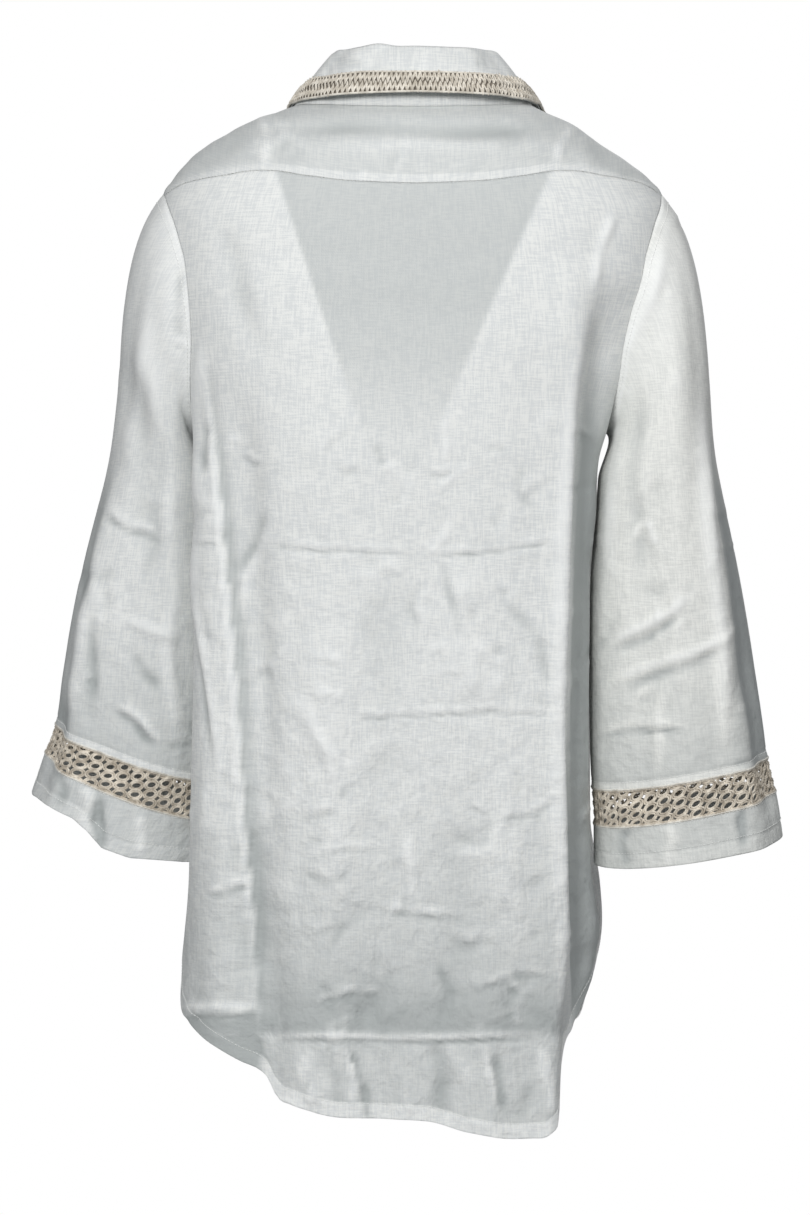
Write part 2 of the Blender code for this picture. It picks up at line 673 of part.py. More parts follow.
def build_collar(collection):
    """Stand, fall and the braid along the fall's free edge."""
    angles = FRONT_SEAM_NECK_ANGLE * yoke_shares()
    pieces = []
    points = grid(collar_stand_point, angles, np.linspace(0, 1, 3))
    pieces.append(sheet("collar_stand", "linen", points, CLOTH_WALL, collection))
    points = grid(collar_fall_point, angles, np.linspace(0, 1, 4))
    pieces.append(sheet("collar_fall", "linen", points, CLOTH_WALL, collection))
    points = grid(collar_fall_point, angles, np.linspace(0, BRAID_HEIGHT_SHARE, 3))
    lift = np.cross(np.gradient(points, axis=0), np.gradient(points, axis=1))
    lift = lift / np.linalg.norm(lift, axis=-1, keepdims=True)
    lift[0, :, 0] = 0.0
    points = points + lift * (BRAID_WALL + BRAID_RAISE)
    pieces.append(sheet("collar_braid", "braid", points, BRAID_WALL, collection))
    for piece in pieces:
        mirror(piece)


def main():
    """Build the blouse."""
    for thing in list(bpy.data.objects):
        clear_object(thing)
    collection = bpy.data.collections.new("blouse")
    bpy.context.scene.collection.children.link(collection)
    build_body(collection)
    for side in SLEEVE_SIDE:
        build_sleeve(side, collection)
    build_collar(collection)


main()
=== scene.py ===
"""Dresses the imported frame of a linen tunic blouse, which the photograph shows from behind.

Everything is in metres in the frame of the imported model: +Z up, +X the wearer's right, +Y the way
the wearer faces, with the origin between the shoulders at the base of the neck. Creases are given
in the photograph's own pixels and laid on the cloth by the camera's scale.
"""

import logging
import math
from collections.abc import Callable, Sequence
from dataclasses import dataclass, field
from enum import Enum
from typing import NamedTuple

import bpy
import numpy as np
from bpy.types import Material, Mesh, Node, NodeSocket, NodeTree, Object
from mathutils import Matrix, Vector


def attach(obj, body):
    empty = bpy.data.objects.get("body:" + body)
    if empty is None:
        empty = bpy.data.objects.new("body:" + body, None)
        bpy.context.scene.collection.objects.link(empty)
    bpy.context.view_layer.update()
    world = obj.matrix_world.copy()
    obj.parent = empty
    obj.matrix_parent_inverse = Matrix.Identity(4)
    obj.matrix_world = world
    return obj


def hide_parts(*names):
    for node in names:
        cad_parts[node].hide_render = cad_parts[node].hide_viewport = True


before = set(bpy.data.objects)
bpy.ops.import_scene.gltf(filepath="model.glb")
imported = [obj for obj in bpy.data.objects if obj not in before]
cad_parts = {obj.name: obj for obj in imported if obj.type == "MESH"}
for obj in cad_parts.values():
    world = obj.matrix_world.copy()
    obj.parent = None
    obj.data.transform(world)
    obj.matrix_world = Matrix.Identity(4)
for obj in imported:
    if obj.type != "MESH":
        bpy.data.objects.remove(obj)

LOG = logging.getLogger("blouse")
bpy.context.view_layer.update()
ROOT = "root"
Array = np.ndarray
Line = tuple[np.ndarray, np.ndarray]
Box = tuple[float, float, float, float]
Colour = tuple[float, float, float, float]
MM = 0.001
SEAM_DEPTH = 0.0004
SEAM_HALF = 0.0011


class Side(Enum):
    """The wearer's side, with the sign of its X."""

    RIGHT = 1.0
    LEFT = -1.0

    @property
    def word(self) -> str:
        """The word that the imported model's nodes use."""
        return self.name.lower()


class Shape(Enum):
    """How a crease crosses the cloth: up, down, or up on one side and down on the other."""

    RIDGE = "ridge"
    TROUGH = "trough"
    STEP = "step"


class Level(NamedTuple):
    """A section of the body: half widths, half depths and how square it is behind and in front."""

    drop: float
    left: float
    right: float
    back: float
    front: float
    back_power: float
    front_power: float


class Fold(NamedTuple):
    """A large fold of the body, from top to bottom as angle and drop."""

    name: str
    top_angle: float
    top_drop: float
    bottom_angle: float
    bottom_drop: float
    half_width: float
    height: float
    fade: float


class Place(NamedTuple):
    """A place on a seam or hem: angle round the body and drop."""

    angle: float
    drop: float


class Ring(NamedTuple):
    """A ring of a sleeve, as in the part's source."""

    station: float
    drop: float
    inner: float
    outer: float
    middle_y: float
    half_depth: float
    tilt: float
    back_drop: float


class SleeveFold(NamedTuple):
    """A large fold of a sleeve, as turn and station."""

    name: str
    top_turn: float
    top_station: float
    bottom_turn: float
    bottom_station: float
    half_width: float
    height: float


class CollarPlace(NamedTuple):
    """A place along half of the collar: its fold and its free edge."""

    angle: float
    fold_x: float
    fold_y: float
    fold_z: float
    edge_x: float
    edge_y: float
    edge_z: float


class Crease(NamedTuple):
    """A crease: its shape, its half width and height in millimetres, and its path in pixels."""

    shape: Shape
    width_mm: float
    height_mm: float
    path: tuple[tuple[float, float], ...]


LEVELS = [
    Level(-0.004, 0.0885, 0.0875, 0.060, 0.062, 2.0, 2.0),
    Level(0.004, 0.1115, 0.1045, 0.064, 0.068, 2.0, 2.0),
    Level(0.011, 0.1305, 0.1205, 0.074, 0.072, 2.0, 2.0),
    Level(0.020, 0.1470, 0.1340, 0.083, 0.077, 2.0, 2.0),
    Level(0.030, 0.1635, 0.1480, 0.090, 0.082, 2.1, 2.0),
    Level(0.043, 0.1780, 0.1670, 0.097, 0.088, 2.2, 2.1),
    Level(0.057, 0.1890, 0.1835, 0.103, 0.094, 2.3, 2.1),
    Level(0.066, 0.1950, 0.1910, 0.106, 0.097, 2.3, 2.2),
    Level(0.090, 0.2000, 0.1990, 0.111, 0.104, 2.4, 2.2),
    Level(0.120, 0.1970, 0.1960, 0.115, 0.111, 2.5, 2.3),
    Level(0.160, 0.1890, 0.1820, 0.119, 0.120, 2.7, 2.4),
    Level(0.200, 0.1820, 0.1670, 0.121, 0.128, 2.8, 2.5),
    Level(0.250, 0.1785, 0.1530, 0.121, 0.133, 2.9, 2.6),
    Level(0.300, 0.1780, 0.1470, 0.119, 0.134, 3.0, 2.7),
    Level(0.400, 0.1775, 0.1450, 0.116, 0.131, 3.1, 2.7),
    Level(0.520, 0.1790, 0.1440, 0.116, 0.128, 3.1, 2.7),
    Level(0.600, 0.1800, 0.1450, 0.117, 0.127, 3.1, 2.7),
    Level(0.660, 0.1800, 0.1400, 0.118, 0.127, 3.1, 2.7),
    Level(0.720, 0.1860, 0.1350, 0.119, 0.128, 3.1, 2.7),
    Level(0.810, 0.1880, 0.1350, 0.120, 0.128, 3.1, 2.7),
]

BODY_FOLDS = [
    Fold("left_arm_hollow", -99, 0.270, -103, 0.580, 13, -0.0360, 0.080),
    Fold("right_arm_hollow", 86, 0.275, 86, 0.575, 13, -0.0140, 0.07),
    Fold("left_back_valley", -54, 0.290, -47, 0.740, 4.5, -0.0110, 0.09),
    Fold("left_back_roll", -63, 0.300, -57, 0.700, 6, 0.0040, 0.09),
    Fold("right_turning_edge", 49, 0.170, 45, 0.790, 4.5, 0.0060, 0.06),
    Fold("right_back_valley", 60, 0.200, 56, 0.760, 5.5, -0.0100, 0.08),
    Fold("back_left_soft_ridge", -30, 0.300, -26, 0.760, 7, 0.0040, 0.16),
    Fold("back_hem_valley", -18, 0.690, -12, 0.790, 4, -0.0050, 0.05),
    Fold("back_hem_ridge", 23, 0.680, 26, 0.790, 5, 0.0045, 0.06),
    Fold("front_left_drape", -150, 0.270, -148, 0.720, 8, 0.0060, 0.08),
    Fold("front_right_drape", 148, 0.270, 152, 0.720, 8, 0.0060, 0.08),
    Fold("front_middle_valley", 178, 0.400, 184, 0.720, 8, -0.0070, 0.10),
    Fold("front_left_valley", -128, 0.260, -126, 0.700, 6, -0.0080, 0.08),
    Fold("front_right_valley", 128, 0.260, 130, 0.700, 6, -0.0080, 0.08),
    Fold("right_front_corner", 108, 0.600, 108, 0.640, 9, 0.0060, 0.05),
    Fold("right_underarm_fullness", 80, 0.262, 80, 0.310, 14, 0.0045, 0.05),
]

BACK_YOKE_SEAM = [
    Place(0, 0.0665), Place(20, 0.0650), Place(40, 0.0600), Place(55, 0.0550),
    Place(63, 0.0575), Place(72, 0.0605), Place(77, 0.0640), Place(82.5, 0.0691),
]

NECK_SEAM = [
    Place(0, 0.0040), Place(35, 0.0028), Place(60, 0.0000), Place(90, -0.0020),
    Place(100, 0.0010), Place(110, 0.0090), Place(119, 0.0200), Place(125.7, 0.0480),
]

BACK_HEM = [
    Place(-90, 0.655), Place(-80, 0.682), Place(-70, 0.698), Place(-60, 0.713),
    Place(-52, 0.729), Place(-48, 0.738), Place(-45, 0.753), Place(-40, 0.759),
    Place(-18, 0.769), Place(3, 0.771), Place(19, 0.780), Place(39, 0.785),
    Place(45, 0.780), Place(49, 0.763), Place(54, 0.727), Place(60, 0.706),
    Place(68, 0.684), Place(79, 0.652), Place(90, 0.635),
]

FRONT_HEM = [
    Place(-90, 0.655), Place(-78, 0.693), Place(-62, 0.715), Place(-40, 0.727),
    Place(0, 0.731), Place(40, 0.728), Place(62, 0.713), Place(78, 0.676),
    Place(90, 0.635),
]

SLEEVE_RINGS = {
    Side.RIGHT: [
        Ring(1, 0.285, 0.1415, 0.2355, -0.010, 0.072, 0.05, 0.000),
        Ring(2, 0.410, 0.1345, 0.2590, -0.012, 0.067, 0.10, 0.003),
        Ring(3, 0.513, 0.1365, 0.2730, -0.014, 0.065, 0.169, 0.006),
        Ring(4, 0.540, 0.1380, 0.2790, -0.014, 0.065, 0.180, 0.007),
        Ring(5, 0.572, 0.1380, 0.2840, -0.014, 0.066, 0.150, 0.008),
    ],
    Side.LEFT: [
        Ring(1, 0.285, 0.1540, 0.2415, 0.028, 0.072, 0.06, 0.000),
        Ring(2, 0.405, 0.1530, 0.2690, 0.032, 0.067, 0.18, 0.003),
        Ring(3, 0.498, 0.1540, 0.2820, 0.034, 0.065, 0.330, 0.009),
        Ring(4, 0.524, 0.1550, 0.2900, 0.034, 0.065, 0.370, 0.011),
        Ring(5, 0.556, 0.1550, 0.3000, 0.034, 0.066, 0.370, 0.016),
    ],
}

SLEEVE_FOLDS = {
    Side.RIGHT: [
        SleeveFold("outer_ridge", 45, 0.9, 50, 5.0, 9, 0.0045),
        SleeveFold("outer_facet", 22, 1.0, 25, 4.0, 10, -0.0040),
        SleeveFold("back_valley", 95, 0.5, 120, 3.0, 12, -0.0050),
        SleeveFold("front_valley", 265, 0.6, 250, 5.0, 12, -0.0060),
        SleeveFold("front_ridge", 300, 0.6, 305, 5.0, 12, 0.0040),
    ],
    Side.LEFT: [
        SleeveFold("outer_ridge", 40, 0.9, 46, 5.0, 9, 0.0045),
        SleeveFold("outer_facet", 20, 1.0, 24, 4.5, 10, -0.0035),
        SleeveFold("back_valley", 85, 0.5, 75, 3.0, 12, -0.0045),
        SleeveFold("front_valley", 262, 0.6, 255, 5.0, 12, -0.0060),
        SleeveFold("front_ridge", 300, 0.6, 305, 5.0, 12, 0.0040),
    ],
}

COLLAR = [
    CollarPlace(0, 0.000, -0.0560, 0.0430, 0.0000, -0.0740, 0.0060),
    CollarPlace(30, 0.028, -0.0500, 0.0428, 0.0400, -0.0670, 0.0055),
    CollarPlace(60, 0.054, -0.0300, 0.0430, 0.0750, -0.0440, 0.0045),
    CollarPlace(85, 0.069, 0.0010, 0.0360, 0.0930, -0.0050, 0.0045),
    CollarPlace(100, 0.073, 0.0260, 0.0230, 0.1030, 0.0350, -0.0040),
    CollarPlace(110, 0.083, 0.0430, 0.0050, 0.1240, 0.0680, -0.0330),
    CollarPlace(119, 0.092, 0.0560, -0.0120, 0.1260, 0.0910, -0.0790),
]

RIDGE, TROUGH, STEP = Shape

# Creases that the photograph shows, in its own pixels
BACK_CREASES = [
    Crease(RIDGE, 1.9, 1.5, ((192, 520), (195, 600), (203, 650), (212, 720), (222, 790))),
    Crease(TROUGH, 1.8, 1.0, ((188, 520), (190, 600), (198, 652), (207, 722), (217, 780))),
    Crease(RIDGE, 4.0, 1.2, ((199, 330), (196, 420), (193, 530))),
    Crease(TROUGH, 2.2, 1.1, ((205, 420), (204, 450), (200, 480))),
    Crease(STEP, 2.3, -1.5, (
        (203, 350), (213, 440), (223, 545), (231, 620), (238, 700), (244, 810), (253, 905), (257, 1012)
    )),
    Crease(TROUGH, 4.2, 1.7, (
        (209, 380), (219, 440), (229, 545), (237, 620), (244, 700), (250, 810), (259, 905), (262, 1000)
    )),
    Crease(TROUGH, 9.0, 1.3, ((222, 400), (244, 560), (256, 700), (264, 860), (272, 1000))),
    Crease(RIDGE, 9.0, 1.4, ((240, 620), (262, 800), (280, 960))),
    Crease(RIDGE, 4.0, 2.6, (
        (600, 283), (583, 345), (575, 404), (566, 520), (560, 660), (561, 800), (566, 1000), (569, 1125)
    )),
    Crease(TROUGH, 5.5, 3.4, (
        (603, 330), (591, 420), (584, 560), (582, 700), (582, 860), (584, 1000), (583, 1060)
    )),
    Crease(STEP, 3.0, -1.3, (
        (575, 380), (569, 480), (563, 580), (561, 700), (565, 830), (567, 930), (569, 1050)
    )),
    Crease(STEP, 1.5, 0.55, ((189, 541), (223, 544))),
    Crease(STEP, 1.5, 0.60, ((262, 543), (330, 549), (415, 553))),
    Crease(STEP, 1.5, 0.60, ((424, 555), (490, 550), (562, 541))),
    Crease(STEP, 1.8, 0.60, ((359, 716), (393, 716))),
    Crease(STEP, 1.6, 0.65, ((382, 713), (445, 713), (506, 711))),
    Crease(STEP, 1.6, 0.60, ((472, 708), (557, 714))),
    Crease(RIDGE, 2.0, 0.7, ((447, 415), (444, 470))),
    Crease(TROUGH, 2.6, 1.0, ((266, 513), (250, 550), (237, 578))),
    Crease(RIDGE, 2.4, 0.8, ((272, 518), (245, 582), (236, 640))),
    Crease(RIDGE, 2.0, 0.7, ((410, 835), (413, 880))),
    Crease(STEP, 2.2, 0.4, ((370, 906), (420, 914), (472, 917))),
    Crease(STEP, 2.4, 0.5, ((492, 821), (530, 812), (557, 798))),
    Crease(STEP, 2.6, 0.8, ((206, 894), (252, 883))),
    Crease(TROUGH, 8.0, 1.2, ((359, 1030), (393, 957))),
    Crease(TROUGH, 2.2, 1.4, ((349, 1048), (356, 1066), (359, 1084))),
    Crease(RIDGE, 1.8, 1.0, ((345, 1048), (351, 1066), (355, 1086))),
    Crease(TROUGH, 2.2, 1.5, ((361, 1078), (366, 1096), (371, 1124))),
    Crease(RIDGE, 2.0, 1.3, ((484, 1050), (490, 1072), (497, 1104))),
    Crease(TROUGH, 3.0, 1.2, ((494, 1052), (500, 1080), (505, 1120))),
    Crease(RIDGE, 2.4, 0.9, ((540, 1046), (544, 1066), (542, 1084))),
    Crease(TROUGH, 2.2, 0.8, ((246, 1012), (244, 1050), (252, 1090))),
    Crease(TROUGH, 5.0, 1.6, ((438, 1040), (444, 1124))),
    Crease(RIDGE, 5.0, 1.2, ((300, 1045), (312, 1108))),
    Crease(STEP, 2.0, 0.9, ((262, 1037), (400, 1040), (566, 1034))),
    Crease(STEP, 2.0, 0.8, ((180, 1017), (256, 1012))),
    Crease(RIDGE, 11.0, 1.5, ((452, 560), (466, 640), (470, 720))),
    Crease(TROUGH, 11.0, 1.4, ((395, 560), (388, 690), (372, 820))),
    Crease(RIDGE, 12.0, 1.3, ((330, 600), (326, 760), (338, 940))),
    Crease(RIDGE, 10.0, 1.3, ((520, 720), (508, 860), (515, 1010))),
    Crease(TROUGH, 10.0, 1.2, ((455, 800), (462, 920), (450, 1030))),
    Crease(TROUGH, 7.0, 1.2, ((217, 217), (240, 290), (263, 363))),
    Crease(RIDGE, 3.0, 0.8, ((290, 690), (318, 742), (352, 775))),
    Crease(TROUGH, 3.0, 0.8, ((505, 600), (538, 640), (556, 700))),
    Crease(STEP, 2.4, 0.4, ((300, 862), (345, 846), (392, 851))),
    Crease(STEP, 2.4, 0.4, ((470, 990), (520, 972), (560, 978))),
    Crease(RIDGE, 2.6, 1.1, ((196, 520), (192, 580), (190, 640))),
    Crease(TROUGH, 12.0, 2.2, ((262, 1000), (256, 900), (244, 830))),
    Crease(RIDGE, 2.4, 0.9, ((304, 690), (312, 722), (330, 760), (336, 800))),
    Crease(RIDGE, 2.4, 0.8, ((404, 830), (412, 880), (410, 900))),
    Crease(TROUGH, 2.6, 0.8, ((440, 560), (452, 600), (460, 640))),
    Crease(RIDGE, 2.2, 0.8, ((350, 1052), (356, 1080), (352, 1108))),
    Crease(RIDGE, 2.2, 0.9, ((546, 1050), (550, 1084), (556, 1120))),
    Crease(TROUGH, 2.4, 0.8, ((436, 960), (450, 990), (440, 1030))),
    Crease(RIDGE, 3.4, 1.3, ((178, 1012), (215, 1007), (256, 1012))),
    Crease(TROUGH, 3.2, 1.4, ((257, 1012), (257, 1060), (258, 1092))),
    Crease(RIDGE, 3.0, 1.0, ((613, 208), (602, 250), (591, 291))),
]

YOKE_CREASES = [
    Crease(TROUGH, 4.5, 2.0, ((287, 132), (340, 128), (420, 131), (500, 129), (567, 127))),
    Crease(RIDGE, 5.0, 1.2, ((300, 142), (380, 146), (470, 143), (545, 140))),
    Crease(RIDGE, 2.6, 1.2, ((262, 112), (265, 140), (266, 170))),
    Crease(RIDGE, 2.6, 1.2, ((571, 122), (562, 145), (553, 168))),
    Crease(TROUGH, 5.0, 1.0, ((190, 175), (222, 150), (256, 130))),
    Crease(TROUGH, 5.0, 1.0, ((640, 190), (610, 160), (580, 140))),
]

SLEEVE_CREASES = {
    Side.LEFT: [
        Crease(RIDGE, 3.0, 1.3, ((118, 621), (150, 629), (186, 640))),
        Crease(TROUGH, 3.0, 1.2, ((131, 654), (146, 674), (163, 694))),
        Crease(STEP, 3.0, 1.4, ((117, 706), (138, 724), (163, 746))),
        Crease(RIDGE, 4.0, 1.6, ((96, 560), (78, 640), (68, 720))),
        Crease(TROUGH, 5.0, 1.4, ((170, 360), (160, 480), (150, 590))),
        Crease(RIDGE, 4.0, 1.1, ((150, 300), (138, 380), (120, 470))),
        Crease(TROUGH, 4.0, 1.2, ((188, 250), (178, 300), (172, 350))),
        Crease(STEP, 2.6, 0.9, ((104, 510), (132, 530), (160, 534))),
        Crease(RIDGE, 4.0, 1.2, ((176, 560), (170, 660), (176, 760))),
        Crease(RIDGE, 7.0, 2.4, ((134, 325), (160, 433), (171, 563))),
        Crease(TROUGH, 8.0, 2.0, ((120, 330), (143, 440), (155, 570))),
        Crease(TROUGH, 3.0, 1.3, ((84, 560), (92, 640), (90, 720))),
    ],
    Side.RIGHT: [
        Crease(RIDGE, 2.6, 1.5, ((612, 642), (645, 628), (672, 611), (692, 594))),
        Crease(TROUGH, 2.6, 1.1, ((612, 652), (650, 636), (690, 610))),
        Crease(RIDGE, 2.8, 1.4, ((612, 679), (650, 668), (690, 656), (722, 640), (750, 618))),
        Crease(TROUGH, 3.0, 1.0, ((620, 690), (680, 668), (730, 642))),
        Crease(RIDGE, 2.2, 1.0, ((628, 540), (638, 530), (644, 520))),
        Crease(RIDGE, 2.2, 1.0, ((644, 520), (650, 530), (656, 545))),
        Crease(RIDGE, 4.0, 2.2, ((695, 365), (708, 490), (721, 623), (724, 762))),
        Crease(TROUGH, 6.0, 1.6, ((708, 380), (728, 520), (744, 660), (750, 750))),
        Crease(RIDGE, 2.0, 0.9, ((611, 201), (623, 199), (637, 206), (656, 220))),
        Crease(TROUGH, 4.0, 1.3, ((660, 200), (640, 260), (616, 330))),
        Crease(RIDGE, 4.0, 1.1, ((668, 232), (650, 300), (624, 362))),
        Crease(TROUGH, 5.0, 1.2, ((640, 380), (634, 480), (640, 600))),
        Crease(RIDGE, 4.0, 1.0, ((618, 420), (612, 520), (606, 600))),
        Crease(STEP, 2.4, 0.8, ((600, 735), (640, 726), (690, 730))),
        Crease(RIDGE, 3.0, 1.0, ((664, 690), (656, 730), (660, 776))),
    ],
}

CUFF_CREASES = {
    Side.LEFT: [
        Crease(TROUGH, 3.0, 2.6, ((97, 792), (98, 818), (99, 852))),
        Crease(RIDGE, 3.5, 1.6, ((88, 782), (87, 806), (84, 836))),
        Crease(RIDGE, 3.0, 1.0, ((140, 812), (142, 836), (139, 862))),
        Crease(TROUGH, 3.0, 0.9, ((60, 765), (62, 790), (58, 812))),
    ],
    Side.RIGHT: [
        Crease(TROUGH, 2.4, 1.4, ((741, 804), (743, 822), (742, 850))),
        Crease(RIDGE, 3.0, 1.0, ((668, 820), (671, 840), (668, 870))),
        Crease(TROUGH, 3.0, 0.8, ((625, 824), (622, 850), (626, 872))),
    ],
}

# The left cuff's hem behind, in the photograph's pixels
CUFF_HEM = {Side.LEFT: ((31, 793), (46, 805), (66, 813), (86, 830), (101, 848), (129, 858), (183, 862))}

# Boxes of pixels that the small creases lie in: left, top, right, bottom
BODY_BOX = (150.0, 430.0, 640.0, 1140.0)
YOKE_BOX = (190.0, 100.0, 650.0, 190.0)
COLLAR_BOX = (300.0, 40.0, 525.0, 75.0)
SLEEVE_BOXES = {
    Side.LEFT: (40.0, 190.0, 200.0, 790.0),
    Side.RIGHT: (590.0, 190.0, 775.0, 810.0),
}

# Edges of the painted shade on the back: the V neck that shows through and the turning edge, each as
# pixels down and across
V_LEFT_EDGE = ((150, 270), (173, 277), (237, 297), (307, 320), (400, 352), (530, 400))
V_RIGHT_EDGE = ((150, 560), (173, 550), (383, 457), (530, 395))
TURNING_EDGE = ((380, 575), (580, 563), (700, 561), (1050, 569))

# Creases of the front, which the photograph doesn't show, placed in the same pixels
FRONT_CREASES = [
    Crease(STEP, 1.6, 0.6, ((230, 545), (320, 550), (410, 546))),
    Crease(STEP, 1.6, 0.6, ((430, 552), (500, 545), (570, 548))),
    Crease(STEP, 1.6, 0.6, ((260, 712), (360, 718), (480, 712))),
    Crease(TROUGH, 8.0, 1.5, ((300, 420), (310, 600), (300, 800), (320, 1000))),
    Crease(RIDGE, 8.0, 1.5, ((510, 430), (500, 620), (515, 820), (505, 1000))),
    Crease(RIDGE, 4.0, 1.2, ((220, 330), (250, 420), (300, 470))),
    Crease(RIDGE, 4.0, 1.2, ((600, 340), (570, 420), (520, 470))),
    Crease(STEP, 2.6, 0.9, ((340, 860), (390, 845), (440, 850))),
    Crease(RIDGE, 3.0, 0.9, ((540, 640), (520, 700), (480, 740))),
    Crease(TROUGH, 3.0, 0.9, ((250, 620), (280, 690), (330, 720))),
    Crease(TROUGH, 5.0, 1.6, ((420, 400), (415, 560), (428, 760))),
    Crease(RIDGE, 5.0, 1.4, ((380, 900), (388, 980), (380, 1030))),
]


@dataclass(frozen=True)
class Photograph:
    """The photograph's scale and the camera that took it."""

    pixel: float = 0.000776
    axis_x: float = 415.0
    origin_y: float = 110.0
    width: float = 810.0
    height: float = 1215.0
    distance: float = 3.5
    sensor: float = 36.0

    @property
    def centre(self) -> tuple[float, float]:
        """X and Z at the middle of the picture."""
        x = (self.width / 2 - self.axis_x) * self.pixel
        return x, (self.origin_y - self.height / 2) * self.pixel

    def seen(self, points: Array) -> tuple[Array, Array]:
        """Where points fall in the picture.

        Args:
            points: Places in metres, (..., 3).

        Returns:
            Their pixels across and down.
        """
        middle_x, middle_z = self.centre
        scale = self.distance / (self.distance + points[..., 1])
        x = middle_x + (points[..., 0] - middle_x) * scale
        z = middle_z + (points[..., 2] - middle_z) * scale
        return self.axis_x + x / self.pixel, self.origin_y - z / self.pixel

    def place_camera(self) -> Object:
        """Make the camera level with the middle of the picture, behind the blouse.

        Returns:
            The camera.
        """
        data = bpy.data.cameras.new("camera")
        data.sensor_width = self.sensor
        data.lens = self.sensor * self.distance / (self.height * self.pixel)
        camera = bpy.data.objects.new("camera", data)
        middle_x, middle_z = self.centre
        camera.location = (middle_x, -self.distance, middle_z)
        camera.rotation_euler = (math.pi / 2, 0, 0)
        bpy.context.collection.objects.link(camera)
        bpy.context.scene.camera = camera
        return camera


PHOTO = Photograph()


def smooth(at: Array, places: Sequence[float], values: Sequence[float]) -> Array:
    """Read a smooth curve that never swings past its points.

    Args:
        at: Where to read it.
        places: Where its points are, rising.
        values: Its value at each point.

    Returns:
        The values at the places asked for.
    """
    places, values = np.asarray(places, float), np.asarray(values, float)
    step = np.diff(places)
    rise = np.diff(values) / step
    slope = np.concatenate([rise[:1], np.zeros(len(rise) - 1), rise[-1:]])
    both = rise[:-1] * rise[1:]
    turning = both > 0
    slope[1:-1][turning] = 2 * both[turning] / (rise[:-1] + rise[1:])[turning]
    index = np.clip(np.searchsorted(places, at) - 1, 0, len(step) - 1)
    t = np.clip((at - places[index]) / step[index], 0, 1)
    first = values[index] + t * step[index] * slope[index]
    last = values[index + 1] - (1 - t) * step[index] * slope[index + 1]
    blend = t * t * (3 - 2 * t)
    return first * (1 - blend) + last * blend


def read(rows: Sequence[NamedTuple], key: str, at: Array, name: str) -> Array:
    """One column of a table, read smoothly along another."""
    return smooth(at, [getattr(row, key) for row in rows], [getattr(row, name) for row in rows])


def read_pairs(table: Sequence[tuple[float, float]], at: Array) -> Array:
    """A table's second column at places in its first."""
    return np.interp(at, [row[0] for row in table], [row[1] for row in table])


def ease(t: Array) -> Array:
    """0 to 1 with soft ends."""
    t = np.clip(t, 0, 1)
    return t * t * (3 - 2 * t)


def mix(a: Array, b: Array, t: Array) -> Array:
    """Straight mix of a and b."""
    return a + (b - a) * t


def between(value: Array, low: float, high: float) -> Array:
    """Share of the way from low to high, kept from 0 to 1."""
    return np.clip((value - low) / (high - low), 0, 1)


def unit(vectors: Array) -> Array:
    """Vectors made one long."""
    return vectors / np.maximum(np.linalg.norm(vectors, axis=-1, keepdims=True), 1e-9)


def beside_path(path: Array, x: Array, y: Array) -> tuple[Array, Array]:
    """Where points lie beside a path.

    Args:
        path: Its corners, (corners, 2).
        x: Across, one for each point.
        y: Down, one for each point.

    Returns:
        Distance from the path, negative on one side of it, and share of the way along it.
    """
    lengths = np.linalg.norm(np.diff(path, axis=0), axis=1)
    starts = np.concatenate([[0], np.cumsum(lengths)])
    best = np.full(x.shape, 1e9)
    signed = np.zeros_like(x)
    share = np.zeros_like(x)
    for a, b, start, length in zip(path[:-1], path[1:], starts, lengths):
        along_x, along_y = (b - a) / length
        run = np.clip((x - a[0]) * along_x + (y - a[1]) * along_y, 0, length)
        off_x, off_y = x - a[0] - run * along_x, y - a[1] - run * along_y
        away = np.hypot(off_x, off_y)
        nearer = away < best
        best = np.where(nearer, away, best)
        signed = np.where(nearer, off_x * along_y - off_y * along_x, signed)
        share = np.where(nearer, (start + run) / starts[-1], share)
    return np.copysign(best, signed), share


def crease_relief(
    creases: Sequence[Crease], across: Array, down: Array, seed: int
) -> tuple[Array, Array]:
    """How far creases lift the cloth.

    Args:
        creases: The creases, with paths in pixels.
        across: Pixel columns of the cloth's points.
        down: Pixel rows of the cloth's points.
        seed: Start of the unevenness of each crease.

    Returns:
        Metres outwards at each point, and the same with narrow creases stronger, for painted shade and
        light.
    """
    rng = np.random.default_rng(seed)
    total, tone = np.zeros_like(across), np.zeros_like(across)
    for crease in creases:
        wobble, swell = rng.uniform(0, 2 * math.pi, 2)
        width = crease.width_mm * MM / PHOTO.pixel
        path = np.array(crease.path, float)
        low, high = path.min(axis=0) - 4 * width, path.max(axis=0) + 4 * width
        near = (across > low[0]) & (across < high[0]) & (down > low[1]) & (down < high[1])
        signed, share = beside_path(path, across[near], down[near])
        bend = 0.35 * width * np.sin(2 * math.pi * 1.3 * share + wobble)
        over = (signed - bend) / width
        taper = ease(share / 0.25) * ease((1 - share) / 0.25) * 0.9 + 0.1
        uneven = 1 + 0.3 * np.sin(2 * math.pi * 1.7 * share + swell)
        bell = np.exp(-0.5 * over**2)
        if crease.shape is STEP:
            bell = bell * over * 1.6
        elif crease.shape is TROUGH:
            bell = -bell
        height = crease.height_mm * MM * bell * taper * uneven
        total[near] += height
        # Painted shade and light along the crease, stronger for narrow creases
        tone[near] += height * min(1.7, (4.0 / crease.width_mm) ** 1.2)
    return total, tone


